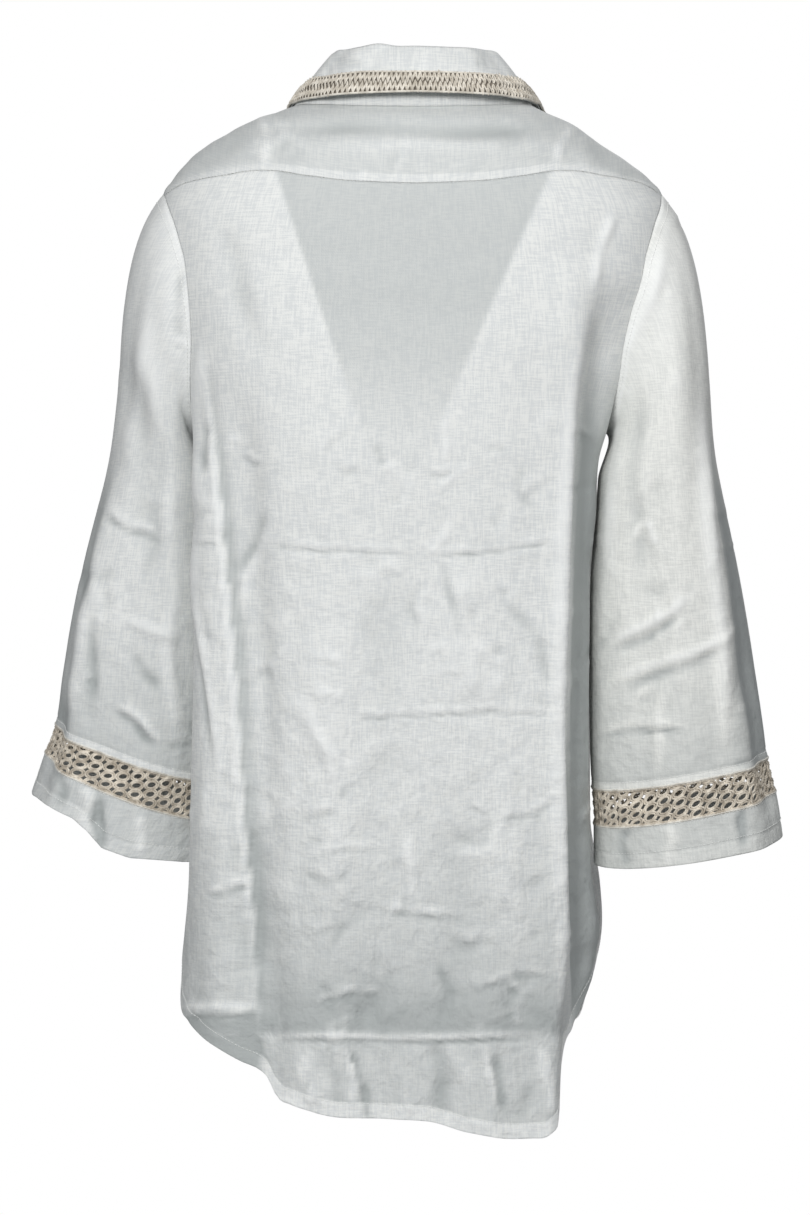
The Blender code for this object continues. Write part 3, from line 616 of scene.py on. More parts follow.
def loose_creases(count: int, box: Box, seed: int) -> list[Crease]:
    """Small creases of worn linen, uneven in length, depth and spacing.

    Args:
        count: How many.
        box: Pixels that they lie in: left, top, right, bottom.
        seed: Start of the random draws.

    Returns:
        The creases.
    """
    rng = np.random.default_rng(seed)
    made = []
    for _ in range(count):
        x, y = rng.uniform(box[0], box[2]), rng.uniform(box[1], box[3])
        turn = rng.normal(0, 0.6) + (0 if rng.random() < 0.5 else math.pi / 2)
        length = rng.uniform(10, 60)
        bend = rng.normal(0, 0.15) * length
        dx, dy = math.cos(turn), math.sin(turn)
        path = ((x, y), (x + dx * length / 2 - dy * bend, y + dy * length / 2 + dx * bend),
                (x + dx * length, y + dy * length))
        shape = (RIDGE, TROUGH, STEP)[int(rng.integers(3))]
        made.append(Crease(shape, rng.uniform(1.7, 4.4), rng.uniform(0.12, 0.60), path))
    return made


@dataclass(frozen=True)
class BodyForm:
    """The body's shape: rounded sections with folds, and the seams laid on them.

    A place is an angle round the body (0 at centre back, 90 at the wearer's right) and a drop.
    """

    tip_drop: float = 0.066
    armhole_depth: float = 0.184
    back_inset: float = 22.0
    front_inset: float = 24.0
    squareness: float = 0.8
    back_turn: float = 15.0
    front_turn: float = -30.0
    neck_angle: float = 119.0
    yoke_corner_share: float = 0.69
    underarm_share: float = 0.68
    neck_share: float = 0.70
    side_pull: int = 3
    v_top_drop: float = 0.048
    v_half_width: float = 0.106
    v_left_closing: float = 0.317
    v_right_closing: float = 0.450

    def fold_height(self, angle: Array, drop: Array) -> Array:
        """How far the large folds move the face outwards.

        Args:
            angle: Degrees round the body.
            drop: Metres below the origin.

        Returns:
            Metres outwards.
        """
        total = np.zeros_like(angle)
        for fold in BODY_FOLDS:
            along = between(drop, fold.top_drop, fold.bottom_drop)
            middle = mix(fold.top_angle, fold.bottom_angle, along)
            away = (angle - middle + 180) % 360 - 180
            strength = ease((drop - fold.top_drop + fold.fade) / fold.fade)
            strength = strength * ease((fold.bottom_drop + fold.fade - drop) / fold.fade)
            total = total + fold.height * strength * np.exp(-0.5 * (away / fold.half_width) ** 2)
        return total

    def point(self, angle: Array, drop: Array) -> Array:
        """Points on the outer face.

        Args:
            angle: Degrees round the body.
            drop: Metres below the origin.

        Returns:
            Places in metres, (..., 3).
        """
        angle, drop = np.broadcast_arrays(np.asarray(angle, float), np.asarray(drop, float))
        across, towards_back = np.sin(np.radians(angle)), np.cos(np.radians(angle))
        sides = {name: read(LEVELS, "drop", drop, name) for name in Level._fields[1:]}
        width = np.where(across >= 0, sides["right"], sides["left"])
        depth = np.where(towards_back >= 0, sides["back"], sides["front"])
        power = np.where(towards_back >= 0, sides["back_power"], sides["front_power"])
        spread = (np.abs(across) / width) ** power + (np.abs(towards_back) / depth) ** power
        reach = spread ** (-1 / power) + self.fold_height(angle, drop)
        return np.stack([reach * across, -reach * towards_back, -drop], -1)

    def armhole(self, turn: Array) -> tuple[Array, Array]:
        """The right armhole as angle and drop.

        Args:
            turn: Degrees round the armhole: 0 at the tip, 90 behind, 180 under the arm.

        Returns:
            Angles round the body and drops.
        """
        turn = np.radians(turn)
        back = np.sin(turn)
        drop = self.tip_drop + self.armhole_depth * (1 - np.cos(turn)) / 2
        inset = np.abs(back) ** self.squareness
        angle = 90 + np.where(back >= 0, -self.back_inset, self.front_inset) * inset
        return angle, drop

    def armhole_edge(self, turn: Array) -> tuple[Array, Array]:
        """The armhole as an angle from the middle of the panel it edges, and a drop."""
        angle, drop = self.armhole(turn)
        return 90 - np.abs(angle - 90), drop

    def panel_place(
        self,
        c: Array,
        t: Array,
        hem: Sequence[Place],
        top: Callable[[Array], tuple[Array, Array]],
        corner_turn: float,
    ) -> tuple[Array, Array]:
        """A place on the back or front panel.

        Args:
            c: -1 at the wearer's left side to 1 at the right.
            t: 0 at the hem to 1 at the top.
            hem: The hem's table.
            top: The top edge as a function of c.
            corner_turn: Where the top meets the armhole.

        Returns:
            An angle from the panel's own middle, and a drop.
        """
        side, m = np.where(c < 0, -1.0, 1.0), np.abs(c)
        top_angle, top_drop = top(c)
        start = math.copysign(180, corner_turn)
        turn = mix(start, corner_turn, between(t, self.underarm_share, 1))
        arm_angle, arm_drop = self.armhole_edge(turn)
        corner_angle, corner_drop = self.armhole_edge(corner_turn)
        side_hem = read(hem, "angle", 90 * side, "drop")
        underarm = self.tip_drop + self.armhole_depth
        seam_drop = mix(side_hem, underarm, between(t, 0, self.underarm_share))
        side_drop = np.where(t > self.underarm_share, arm_drop, seam_drop)
        bow_angle = arm_angle - mix(90, corner_angle, t)
        bow_drop = side_drop - mix(side_hem, corner_drop, t)
        hem_drop = read(hem, "angle", 90 * c, "drop")
        pull = m**self.side_pull
        angle = mix(90 * c, top_angle, t) + side * pull * bow_angle
        return angle, mix(hem_drop, top_drop, t) + pull * bow_drop

    def back_top(self, c: Array) -> tuple[Array, Array]:
        """The seam between back and yoke."""
        angle = self.armhole_edge(self.back_turn)[0] * c
        return angle, read(BACK_YOKE_SEAM, "angle", np.abs(angle), "drop")

    def back(self, c: Array, t: Array) -> Array:
        """Points of the back panel."""
        return self.point(*self.panel_place(c, t, BACK_HEM, self.back_top, self.back_turn))

    def v_edge(self, side: Array, share: Array) -> tuple[Array, Array]:
        """The V neck's edge.

        Args:
            side: 1 on the right, -1 on the left.
            share: 0 at the V's point to 1 at the yoke seam.

        Returns:
            Angles from centre front, and drops.
        """
        closing = self.v_left_closing + self.v_right_closing
        point_drop = self.v_top_drop + 2 * self.v_half_width / closing
        top_drop = read(NECK_SEAM, "angle", self.neck_angle, "drop")
        drop = mix(point_drop, top_drop, share)
        rate = np.where(side > 0, self.v_right_closing, self.v_left_closing)
        x = side * (self.v_half_width - rate * (drop - self.v_top_drop))
        low = np.degrees(np.arctan2(x, read(LEVELS, "drop", drop, "front")))
        neck = [place for place in NECK_SEAM if place.angle >= 90]
        high = side * (180 - read(neck, "drop", drop, "angle"))
        return np.where(drop > self.v_top_drop, low, high), drop

    def front_top(self, c: Array) -> tuple[Array, Array]:
        """The V neck and the front's seams with the yoke.

        Args:
            c: -1 at the wearer's left side to 1 at the right.

        Returns:
            Angles from centre front, and drops.
        """
        side, m = np.where(c < 0, -1.0, 1.0), np.abs(c)
        neck_angle, neck_drop = self.v_edge(side, between(m, 0, self.neck_share))
        corner_angle, corner_drop = self.v_edge(side, np.ones_like(m))
        arm_angle, arm_drop = self.armhole_edge(self.front_turn)
        along = between(m, self.neck_share, 1)
        angle = np.where(along > 0, mix(corner_angle, side * arm_angle, along), neck_angle)
        return angle, np.where(along > 0, mix(corner_drop, arm_drop, along), neck_drop)

    def front(self, c: Array, t: Array) -> Array:
        """Points of the front panel."""
        angle, drop = self.panel_place(c, t, FRONT_HEM, self.front_top, self.front_turn)
        return self.point(180 - angle, drop)

    def yoke(self, c: Array, t: Array) -> Array:
        """Points of the yoke.

        Args:
            c: -1 at the left front corner to 1 at the right.
            t: 0 at the neck to 1 at the seam with the back.

        Returns:
            Places in metres, (..., 3).
        """
        side, m = np.sign(c), np.abs(c)
        neck_angle = self.neck_angle * m
        neck_drop = read(NECK_SEAM, "angle", neck_angle, "drop")
        seam_angle = self.armhole(self.back_turn)[0] * between(m, 0, self.yoke_corner_share)
        seam_drop = read(BACK_YOKE_SEAM, "angle", seam_angle, "drop")
        turn = mix(self.back_turn, self.front_turn, between(m, self.yoke_corner_share, 1))
        arm_angle, arm_drop = self.armhole(turn)
        on_seam = m <= self.yoke_corner_share
        outer_angle = np.where(on_seam, seam_angle, arm_angle)
        outer_drop = np.where(on_seam, seam_drop, arm_drop)
        return self.point(side * mix(neck_angle, outer_angle, t), mix(neck_drop, outer_drop, t))


BODY = BodyForm()


@dataclass(frozen=True)
class SleeveForm:
    """A sleeve's shape: turn 0 is outside, 90 behind; station 0 is the armhole, 5 the hem."""

    side: Side
    tip_out: float = 0.57
    tip_down: float = 0.65
    underarm_out: float = 0.77
    underarm_down: float = 0.35
    fade: float = 0.6

    def ring_point(self, turn: Array, station: Array) -> Array:
        """Points below the first ring.

        Args:
            turn: Degrees round the sleeve.
            station: 1 to 5.

        Returns:
            Places in metres, (..., 3).
        """
        rings = SLEEVE_RINGS[self.side]
        sizes = {name: read(rings, "station", station, name) for name in Ring._fields[1:]}
        out, back = np.cos(np.radians(turn)), np.sin(np.radians(turn))
        half = (sizes["outer"] - sizes["inner"]) / 2
        fold = np.zeros_like(out)
        for row in SLEEVE_FOLDS[self.side]:
            along = between(station, row.top_station, row.bottom_station)
            away = (turn - mix(row.top_turn, row.bottom_turn, along) + 180) % 360 - 180
            strength = ease((station - row.top_station) / self.fade)
            strength = strength * ease((row.bottom_station + self.fade - station) / self.fade)
            fold = fold + row.height * strength * np.exp(-0.5 * (away / row.half_width) ** 2)
        x = (sizes["inner"] + half) + (half + fold) * out
        y = sizes["middle_y"] - (sizes["half_depth"] + fold) * back
        z = -sizes["drop"] + sizes["tilt"] * half * out - sizes["back_drop"] * back
        return np.stack([self.side.value * x, y, z], -1)

    def point(self, turn: Array, station: Array) -> Array:
        """Points on the outer face, from the armhole to the hem.

        Args:
            turn: Degrees round the sleeve.
            station: 0 at the armhole to 5 at the hem.

        Returns:
            Places in metres, (..., 3).
        """
        turn, station = np.broadcast_arrays(np.asarray(turn, float), np.asarray(station, float))
        low = self.ring_point(turn, np.maximum(station, 1.0))
        angle, drop = BODY.armhole(turn)
        start = BODY.point(self.side.value * angle, drop)
        first = self.ring_point(turn, np.ones_like(turn))
        length = np.linalg.norm(first - start, axis=-1, keepdims=True)
        under = (1 - np.cos(np.radians(turn))[..., None]) / 2
        leave_x = self.side.value * mix(self.tip_out, self.underarm_out, under)
        leave_z = -mix(self.tip_down, self.underarm_down, under)
        leave = np.concatenate([leave_x, 0 * leave_x, leave_z], -1)
        arrive = unit(self.ring_point(turn, np.full_like(turn, 1.2)) - first)
        t = np.clip(station, 0, 1)[..., None]
        high = (2 * t**3 - 3 * t**2 + 1) * start + (t**3 - 2 * t**2 + t) * length * leave
        high = high + (3 * t**2 - 2 * t**3) * first + (t**3 - t**2) * length * arrive
        return np.where(station[..., None] < 1, high, low)

    def normal(self, turn: Array, station: Array) -> Array:
        """Directions out of the cloth.

        Args:
            turn: Degrees round the sleeve.
            station: 0 at the armhole to 5 at the hem.

        Returns:
            Vectors one long.
        """
        round_it = self.point(turn + 0.5, station) - self.point(turn - 0.5, station)
        down_it = self.point(turn, station + 0.01) - self.point(turn, station - 0.01)
        return unit(np.cross(round_it, down_it) * self.side.value)


@dataclass(frozen=True)
class CollarForm:
    """The collar's shape, by the angle round the neck seam, from -119 to 119."""

    peak_x: float = -0.029
    peak_width: float = 0.012
    peak_height: float = 0.0024
    fold_width: float = 0.0022
    crown: float = 0.0025
    end_angle: float = 119.0

    def line(self, angle: Array, name: str) -> Array:
        """The fold or the free edge.

        Args:
            angle: Degrees round the neck.
            name: fold or edge.

        Returns:
            Places in metres, (..., 3).
        """
        m, side = np.abs(angle), np.where(angle < 0, -1.0, 1.0)
        x, y, z = (read(COLLAR, "angle", m, f"{name}_{axis}") for axis in "xyz")
        if name == "fold":
            z = z + self.peak_height * np.exp(-(((side * x - self.peak_x) / self.peak_width) ** 2))
        return np.stack([side * x, y, z], -1)

    def outwards(self, points: Array) -> Array:
        """Level directions away from the neck's middle."""
        return unit(points * np.array([1.0, 1.0, 0.0]))

    def stand(self, angle: Array, t: Array) -> Array:
        """Points of the stand.

        Args:
            angle: Degrees round the neck.
            t: 0 at the neck seam to 1 at the fold.

        Returns:
            Places in metres, (..., 3).
        """
        foot = BODY.point(angle, read(NECK_SEAM, "angle", np.abs(angle), "drop"))
        fold = self.line(angle, "fold")
        top = fold - self.fold_width * self.outwards(fold)
        return mix(foot, top, t[..., None])

    def fall(self, angle: Array, t: Array) -> Array:
        """Points of the fall.

        Args:
            angle: Degrees round the neck.
            t: 0 at the free edge to 1 at the fold.

        Returns:
            Places in metres, (..., 3).
        """
        edge, fold = self.line(angle, "edge"), self.line(angle, "fold")
        crown = 4 * t * (1 - t) * self.crown
        return mix(edge, fold, t[..., None]) + self.outwards(edge) * crown[..., None]

    def fall_normal(self, angle: Array, t: Array) -> Array:
        """Directions out of the fall."""
        along = self.fall(angle + 0.5, t) - self.fall(angle - 0.5, t)
        return unit(np.cross(along, self.fall(angle, t + 0.01) - self.fall(angle, t - 0.01)))


NECK = CollarForm()


@dataclass
class Cloth:
    """A sheet of cloth on a grid of points, which are its outer face.

    Args:
        name: The piece's name.
        points: Places in metres, (columns, rows, 3).
        inward: True for a grid whose faces point inwards.
        closed: True for a tube, whose last column is its first.
        wall: Thickness of the cloth in metres.
        tone_per_metre: Painted shade and light for each metre of a crease's height.
        most_dark: The most painted shade that a crease puts on.
        most_light: The most painted light that a crease puts on.
    """

    name: str
    points: Array
    inward: bool = False
    closed: bool = False
    wall: float = 0.0008
    tone_per_metre: float = 225.0
    most_dark: float = 0.75
    most_light: float = 0.45

    def __post_init__(self) -> None:
        """Work out the cut before any crease is laid on it."""
        step_across = np.linalg.norm(np.diff(self.points, axis=0), axis=-1)
        step_down = np.linalg.norm(np.diff(self.points, axis=1), axis=-1)
        columns, rows = self.points.shape[:2]
        self.u = np.concatenate([np.zeros((1, rows)), np.cumsum(step_across, axis=0)])
        self.v = np.concatenate([np.zeros((columns, 1)), np.cumsum(step_down, axis=1)], axis=1)
        self.shade = np.zeros((columns, rows))
        self.held = np.ones((columns, rows))
        self.cut_u, self.cut_v = self.u, self.v
        self.width = float(self.u[-1].max())
        self.length = float(self.v[:, -1].max())
        self.area = self.surface()

    def surface(self) -> float:
        """Area of the grid.

        Returns:
            Square metres.
        """
        p = self.points
        first = np.cross(p[1:, :-1] - p[:-1, :-1], p[:-1, 1:] - p[:-1, :-1])
        second = np.cross(p[:-1, 1:] - p[1:, 1:], p[1:, :-1] - p[1:, 1:])
        both = np.linalg.norm(first, axis=-1).sum() + np.linalg.norm(second, axis=-1).sum()
        return float(both) / 2

    def normals(self) -> Array:
        """Directions out of the cloth at each point.

        Returns:
            Vectors one long.
        """
        across = np.gradient(self.points, axis=0)
        if self.closed:
            across[0] = across[-1] = (self.points[1] - self.points[-2]) / 2
        out = unit(np.cross(across, np.gradient(self.points, axis=1)))
        return -out if self.inward else out

    def lift(self, height: Array) -> None:
        """Move the points along their normals by height."""
        self.points = self.points + self.normals() * height[..., None]

    def crease(
        self, creases: Sequence[Crease], seed: int, behind: bool = True, gain: float = 1.0
    ) -> None:
        """Lay creases on the side that faces the camera, or on the far side, with painted shade and
        light.

        Args:
            creases: The creases, in pixels.
            seed: Start of their unevenness.
            behind: True for the wearer's back, which the camera sees.
            gain: Scales their heights.
        """
        out = self.normals()[..., 1] * (-1 if behind else 1)
        across, down = PHOTO.seen(self.points)
        height, tone = crease_relief(creases, across, down, seed)
        strength = ease(out * 3 + 0.3) * gain
        self.lift(height * strength * self.held)
        # Painted shade in troughs and painted light on ridges
        tone = tone * strength * self.tone_per_metre
        self.shade = self.shade + np.clip(tone, -self.most_dark, self.most_light)

    def seam(self, distance: Array, depth: float, width: float) -> None:
        """A sewn line: the cloth is drawn in where distance is nought."""
        self.lift(-depth * np.exp(-0.5 * (distance / width) ** 2))

    def build(
        self, outer: Material, inner: Material, slot: str = "linen"
    ) -> Object:
        """Make the object.

        Args:
            outer: Material of the right side.
            inner: Material of the wrong side.
            slot: Not used.

        Returns:
            The piece, riding on the root.
        """
        points, u, v, shade = self.points, self.cut_u, self.cut_v, self.shade
        columns, rows = points.shape[:2]
        count = columns - 1 if self.closed else columns
        i, j = np.meshgrid(np.arange(columns - 1), np.arange(rows - 1), indexing="ij")
        nxt = (i + 1) % count if self.closed else i + 1
        quads = np.stack([i * rows + j, nxt * rows + j, nxt * rows + j + 1, i * rows + j + 1], -1)
        if self.inward:
            quads = quads[..., ::-1]
        quads = quads.reshape(-1, 4)
        mesh = bpy.data.meshes.new(self.name)
        mesh.from_pydata(points[:count].reshape(-1, 3).tolist(), [], quads.tolist())
        flat_i = np.stack([i, i + 1, i + 1, i], -1)
        flat_j = np.stack([j, j, j + 1, j + 1], -1)
        if self.inward:
            flat_i, flat_j = flat_i[..., ::-1], flat_j[..., ::-1]
        flat_i, flat_j = flat_i.reshape(-1), flat_j.reshape(-1)
        layer = mesh.uv_layers.new(name="cut")
        layer.data.foreach_set("uv", np.stack([u[flat_i, flat_j], v[flat_i, flat_j]], -1).ravel())
        # Per-point painted shade and light, and the lighter look of two-layer cloth
        values = mesh.attributes.new("layers", "FLOAT", "POINT")
        values.data.foreach_set("value", shade[:count].reshape(-1))
        mesh.materials.append(outer)
        mesh.materials.append(inner)
        piece = add_piece(mesh)
        wall = piece.modifiers.new("wall", "SOLIDIFY")
        wall.thickness = self.wall
        wall.offset = -1.0
        wall.material_offset = 1
        wall.material_offset_rim = 0
        return piece

    def sew_on(
        self,
        outer: Material,
        inner: Material,
        node: str,
        held: str,
        rests_on: list[str],
    ) -> Object:
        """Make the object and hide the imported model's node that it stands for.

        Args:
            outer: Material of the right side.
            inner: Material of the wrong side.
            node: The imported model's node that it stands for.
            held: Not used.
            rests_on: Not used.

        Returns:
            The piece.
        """
        piece = self.build(outer, inner)
        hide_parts(node)
        return piece


def add_piece(mesh: Mesh) -> Object:
    """Put a mesh in the scene as a piece of the blouse.

    Args:
        mesh: The mesh, which names the piece.

    Returns:
        The piece, riding on the root.
    """
    mesh.shade_smooth()
    piece = bpy.data.objects.new(mesh.name, mesh)
    bpy.context.collection.objects.link(piece)
    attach(piece, ROOT)
    return piece


def graded(count: int, length: float, low: float, high: float, fine: float = 0.0011) -> Array:
    """Shares from 0 to 1 with finer steps next to each end.

    Args:
        count: Even steps in between.
        length: The whole length in metres.
        low: Metres of fine steps at the start.
        high: Metres of fine steps at the end.
        fine: The fine step in metres.

    Returns:
        Rising shares.
    """
    start = np.arange(0, low, fine) / length
    end = 1 - np.arange(0, high, fine)[::-1] / length
    first = start[-1] if len(start) else 0.0
    last = end[0] if len(end) else 1.0
    middle = np.linspace(first, last, count + 1)
    inside = middle[(1 if len(start) else 0):(-1 if len(end) else None)]
    return np.concatenate([start, inside, end])


def grid(place: Callable[[Array, Array], Array], across: Array, up: Array) -> Array:
    """The points of place on a grid of shares."""
    c, t = np.meshgrid(across, up, indexing="ij")
    return place(c, t)


def run_length(
    place: Callable[[Array, Array], Array], across: float, start: float, end: float, count: int
) -> float:
    """Length of one line of a form.

    Args:
        place: Gives the form's points.
        across: Where the line lies across the form.
        start: Where it starts along the form.
        end: Where it ends along the form.
        count: How many points it is measured by.

    Returns:
        Metres.
    """
    line = grid(place, np.array([across]), np.linspace(start, end, count))
    return float(np.linalg.norm(np.diff(line, axis=1), axis=-1).sum())


def frames(paths: Array, ups: Array, closed: bool) -> tuple[Array, Array]:
    """Two directions square to each path, the second as near as can be to ups.

    Args:
        paths: (cords, points, 3) in metres.
        ups: Directions out of the cloth at each point.
        closed: True where each path is a ring.

    Returns:
        Directions beside each path, and out of the cloth.
    """
    if closed:
        along = np.roll(paths, -1, axis=1) - np.roll(paths, 1, axis=1)
    else:
        along = np.gradient(paths, axis=1)
    side = unit(np.cross(unit(along), ups))
    return side, unit(np.cross(side, unit(along)))


def cords(
    name: str,
    paths: Array,
    ups: Array,
    radius: float,
    sides: int,
    material: Material,
    closed: bool = False,
    flat: float = 1.0,
    twists: int = 0,
    lobe: float = 0.34,
) -> Object:
    """Round or two-ply cords along many paths, as one piece.

    Args:
        name: The piece's name.
        paths: (cords, points, 3) in metres.
        ups: Directions out of the cloth at each point.
        radius: Half the cord's thickness.
        sides: Facets round it.
        material: Its material.
        closed: True where each path is a ring.
        flat: Height of the section as a share of its width.
        twists: How often two plies turn round each other along a path; 0 for a plain cord.
        lobe: How far each ply bulges, as a share of the radius.

    Returns:
        The piece, riding on the root.
    """
    side, up = frames(paths, ups, closed)
    many, length = paths.shape[:2]
    turns = np.arange(sides) / sides * 2 * math.pi
    ring = (np.cos(turns)[:, None] * side[:, :, None, :]
            + flat * np.sin(turns)[:, None] * up[:, :, None, :])
    twisted = math.pi * twists * np.arange(length)[:, None] / length
    lobes = 1 + (lobe if twists else 0.0) * np.cos(2 * (turns[None, :] - twisted))
    points = paths[:, :, None, :] + radius * ring * lobes[None, :, :, None]
    steps = length if closed else length - 1
    k, i, j = np.meshgrid(np.arange(many), np.arange(steps), np.arange(sides), indexing="ij")
    step, turn = (i + 1) % length, (j + 1) % sides
    base = k * length * sides
    quads = np.stack([base + i * sides + j, base + i * sides + turn,
                      base + step * sides + turn, base + step * sides + j], -1).reshape(-1, 4)
    faces = quads.tolist()
    if not closed:
        for cord in range(many):
            first = cord * length * sides
            last = first + (length - 1) * sides
            faces.append([first + s for s in range(sides)][::-1])
            faces.append([last + s for s in range(sides)])
    mesh = bpy.data.meshes.new(name)
    mesh.from_pydata(points.reshape(-1, 3).tolist(), [], faces)
    mesh.materials.append(material)
    return add_piece(mesh)


def stitches(
    name: str,
    lines: Sequence[Line],
    material: Material,
    pitch: float = 0.0030,
    share: float = 0.72,
    radius: float = 0.00024,
) -> Object:
    """Rows of machine stitches along lines on the cloth.

    Args:
        name: The piece's name.
        lines: Pairs of places and directions out of the cloth, each (points, 3).
        material: The thread.
        pitch: Metres from one stitch to the next.
        share: How much of the pitch shows.
        radius: Half the thread's thickness.

    Returns:
        The piece.
    """
    bits, ups = [], []
    bow = np.array([-0.6, 0.5, 0.9, 0.5, -0.6])
    for line, out in lines:
        length = np.concatenate([[0], np.cumsum(np.linalg.norm(np.diff(line, axis=0), axis=1))])
        starts = np.arange(0.0, length[-1] - pitch, pitch)
        at = starts[:, None] + np.linspace(0, pitch * share, 5)[None, :]
        place = np.stack([np.interp(at, length, line[:, axis]) for axis in range(3)], -1)
        up = unit(np.stack([np.interp(at, length, out[:, axis]) for axis in range(3)], -1))
        bits.append(place + up * (radius * bow)[None, :, None])
        ups.append(up)
    return cords(name, np.concatenate(bits), np.concatenate(ups), radius, 5, material)


class Nodes:
    """Adds nodes to one shader tree and joins them."""

    def __init__(self, tree: NodeTree) -> None:
        """Keep the tree."""
        self.tree = tree

    def add(self, kind: str, **settings: object) -> Node:
        """Add a node.

        Args:
            kind: Its type.
            **settings: Its own properties.

        Returns:
            The node.
        """
        node = self.tree.nodes.new(kind)
        for name, value in settings.items():
            setattr(node, name, value)
        return node

    def join(self, start: NodeSocket, end: NodeSocket) -> None:
        """Draw a link."""
        self.tree.links.new(start, end)

    def fill(
        self, kind: str, values: dict[str | int, object], output: str | int = 0, **settings: object
    ) -> NodeSocket:
        """Add a node and fill its sockets.

        Args:
            kind: Its type.
            values: Sockets to link, or plain values, by the input's name or number.
            output: The output to give.
            **settings: The node's own properties.

        Returns:
            The output's socket.
        """
        node = self.add(kind, **settings)
        for key, value in values.items():
            if isinstance(value, NodeSocket):
                self.join(value, node.inputs[key])
            else:
                node.inputs[key].default_value = value
        return node.outputs[output]

    def maths(self, operation: str, first: object, second: object = 0.0) -> NodeSocket:
        """A sum on two values."""
        return self.fill("ShaderNodeMath", {0: first, 1: second}, operation=operation)

    def noise(self, place: NodeSocket, scale: object, detail: float) -> NodeSocket:
        """A cloudy value from 0 to 1."""
        values = {"Vector": place, "Scale": scale, "Detail": detail}
        return self.fill("ShaderNodeTexNoise", values, "Fac")

    def vector(self, x: object, y: object, z: object) -> NodeSocket:
        """Three values as a vector."""
        return self.fill("ShaderNodeCombineXYZ", {0: x, 1: y, 2: z})

    def spread(self, value: NodeSocket, low: float, high: float) -> NodeSocket:
        """Stretch low..high over 0..1, kept inside it."""
        values = {"Value": value, "From Min": low, "From Max": high}
        return self.fill("ShaderNodeMapRange", values, "Result")

    def colour(self, share: object, first: object, second: object) -> NodeSocket:
        """A mix of two colours."""
        return self.fill("ShaderNodeMix", {0: share, 6: first, 7: second}, 2, data_type="RGBA")

    def bump(self, height: NodeSocket, distance: float, strength: float) -> NodeSocket:
        """A normal from a height."""
        values = {"Height": height, "Distance": distance, "Strength": strength}
        return self.fill("ShaderNodeBump", values, "Normal")


def new_material(name: str) -> tuple[Material, Nodes, Node]:
    """A material with its shader.

    Args:
        name: The material's name.

    Returns:
        The material, a helper for its nodes, and its shader.
    """
    material = bpy.data.materials.new(name)
    material.use_nodes = True
    return material, Nodes(material.node_tree), material.node_tree.nodes["Principled BSDF"]


def new_group(
    name: str, inputs: dict[str, str], outputs: dict[str, str]
) -> tuple[NodeTree, Nodes]:
    """A shader group with its sockets.

    Args:
        name: The group's name.
        inputs: Socket types by name.
        outputs: Socket types by name.

    Returns:
        The group and a helper for its nodes.
    """
    tree = bpy.data.node_groups.new(name, "ShaderNodeTree")
    for kind, sockets in (("INPUT", inputs), ("OUTPUT", outputs)):
        for label, socket_type in sockets.items():
            tree.interface.new_socket(name=label, in_out=kind, socket_type=socket_type)
    return tree, Nodes(tree)


def woven_linen_group() -> NodeTree:
    """Plain weave with uneven threads and fine crumples, from a place on the cut in metres.

    Returns:
        The group.
    """
    tree, nodes = new_group(
        "woven_linen",
        {
            "Vector": "NodeSocketVector",
            "Pitch": "NodeSocketFloat",
            "Slub": "NodeSocketFloat",
            "Crumple": "NodeSocketFloat",
        },
        {"Tone": "NodeSocketFloat", "Height": "NodeSocketFloat"},
    )
    start, end = nodes.add("NodeGroupInput"), nodes.add("NodeGroupOutput")
    split = nodes.add("ShaderNodeSeparateXYZ")
    nodes.join(start.outputs["Vector"], split.inputs[0])
    threads = nodes.maths("DIVIDE", 1.0, start.outputs["Pitch"])
    streaks, waves = [], []
    for thread, other in ((0, 1), (1, 0)):
        fine = nodes.maths("MULTIPLY", split.outputs[other], threads)
        long = nodes.maths("MULTIPLY", split.outputs[thread], 75.0)
        streaks.append(nodes.noise(nodes.vector(fine, long, 3.7 * thread), 1.0, 3.0))
        waves.append(nodes.maths("SINE", nodes.maths("MULTIPLY", fine, math.pi)))
    both = nodes.maths("ADD", streaks[0], streaks[1])
    uneven = nodes.maths("MULTIPLY", nodes.maths("SUBTRACT", both, 1.0), start.outputs["Slub"])
    cloudy = nodes.noise(start.outputs["Vector"], 60.0, 5.0)
    mottle = nodes.maths("MULTIPLY", nodes.maths("SUBTRACT", cloudy, 0.5), 0.9)
    nodes.join(nodes.maths("ADD", nodes.maths("ADD", uneven, 0.5), mottle), end.inputs["Tone"])
    weave = nodes.maths("MULTIPLY", nodes.maths("MULTIPLY", waves[0], waves[1]), 0.00002)
    threads_height = nodes.maths("ADD", weave, nodes.maths("MULTIPLY", both, 0.00010))
    broad = nodes.noise(start.outputs["Vector"], 46.0, 5.0)
    fine_cloud = nodes.noise(start.outputs["Vector"], 33.0, 4.0)
    sharp = nodes.maths("ABSOLUTE", nodes.maths("SUBTRACT", fine_cloud, 0.5))
    lower_down = nodes.maths("ADD", nodes.spread(split.outputs[1], 0.25, 0.60), 0.28)
    depth = nodes.maths("MULTIPLY", start.outputs["Crumple"], lower_down)
    crumple = nodes.maths("MULTIPLY", nodes.maths("SUBTRACT", broad, sharp), depth)
    nodes.join(nodes.maths("ADD", threads_height, crumple), end.inputs["Height"])
    return tree


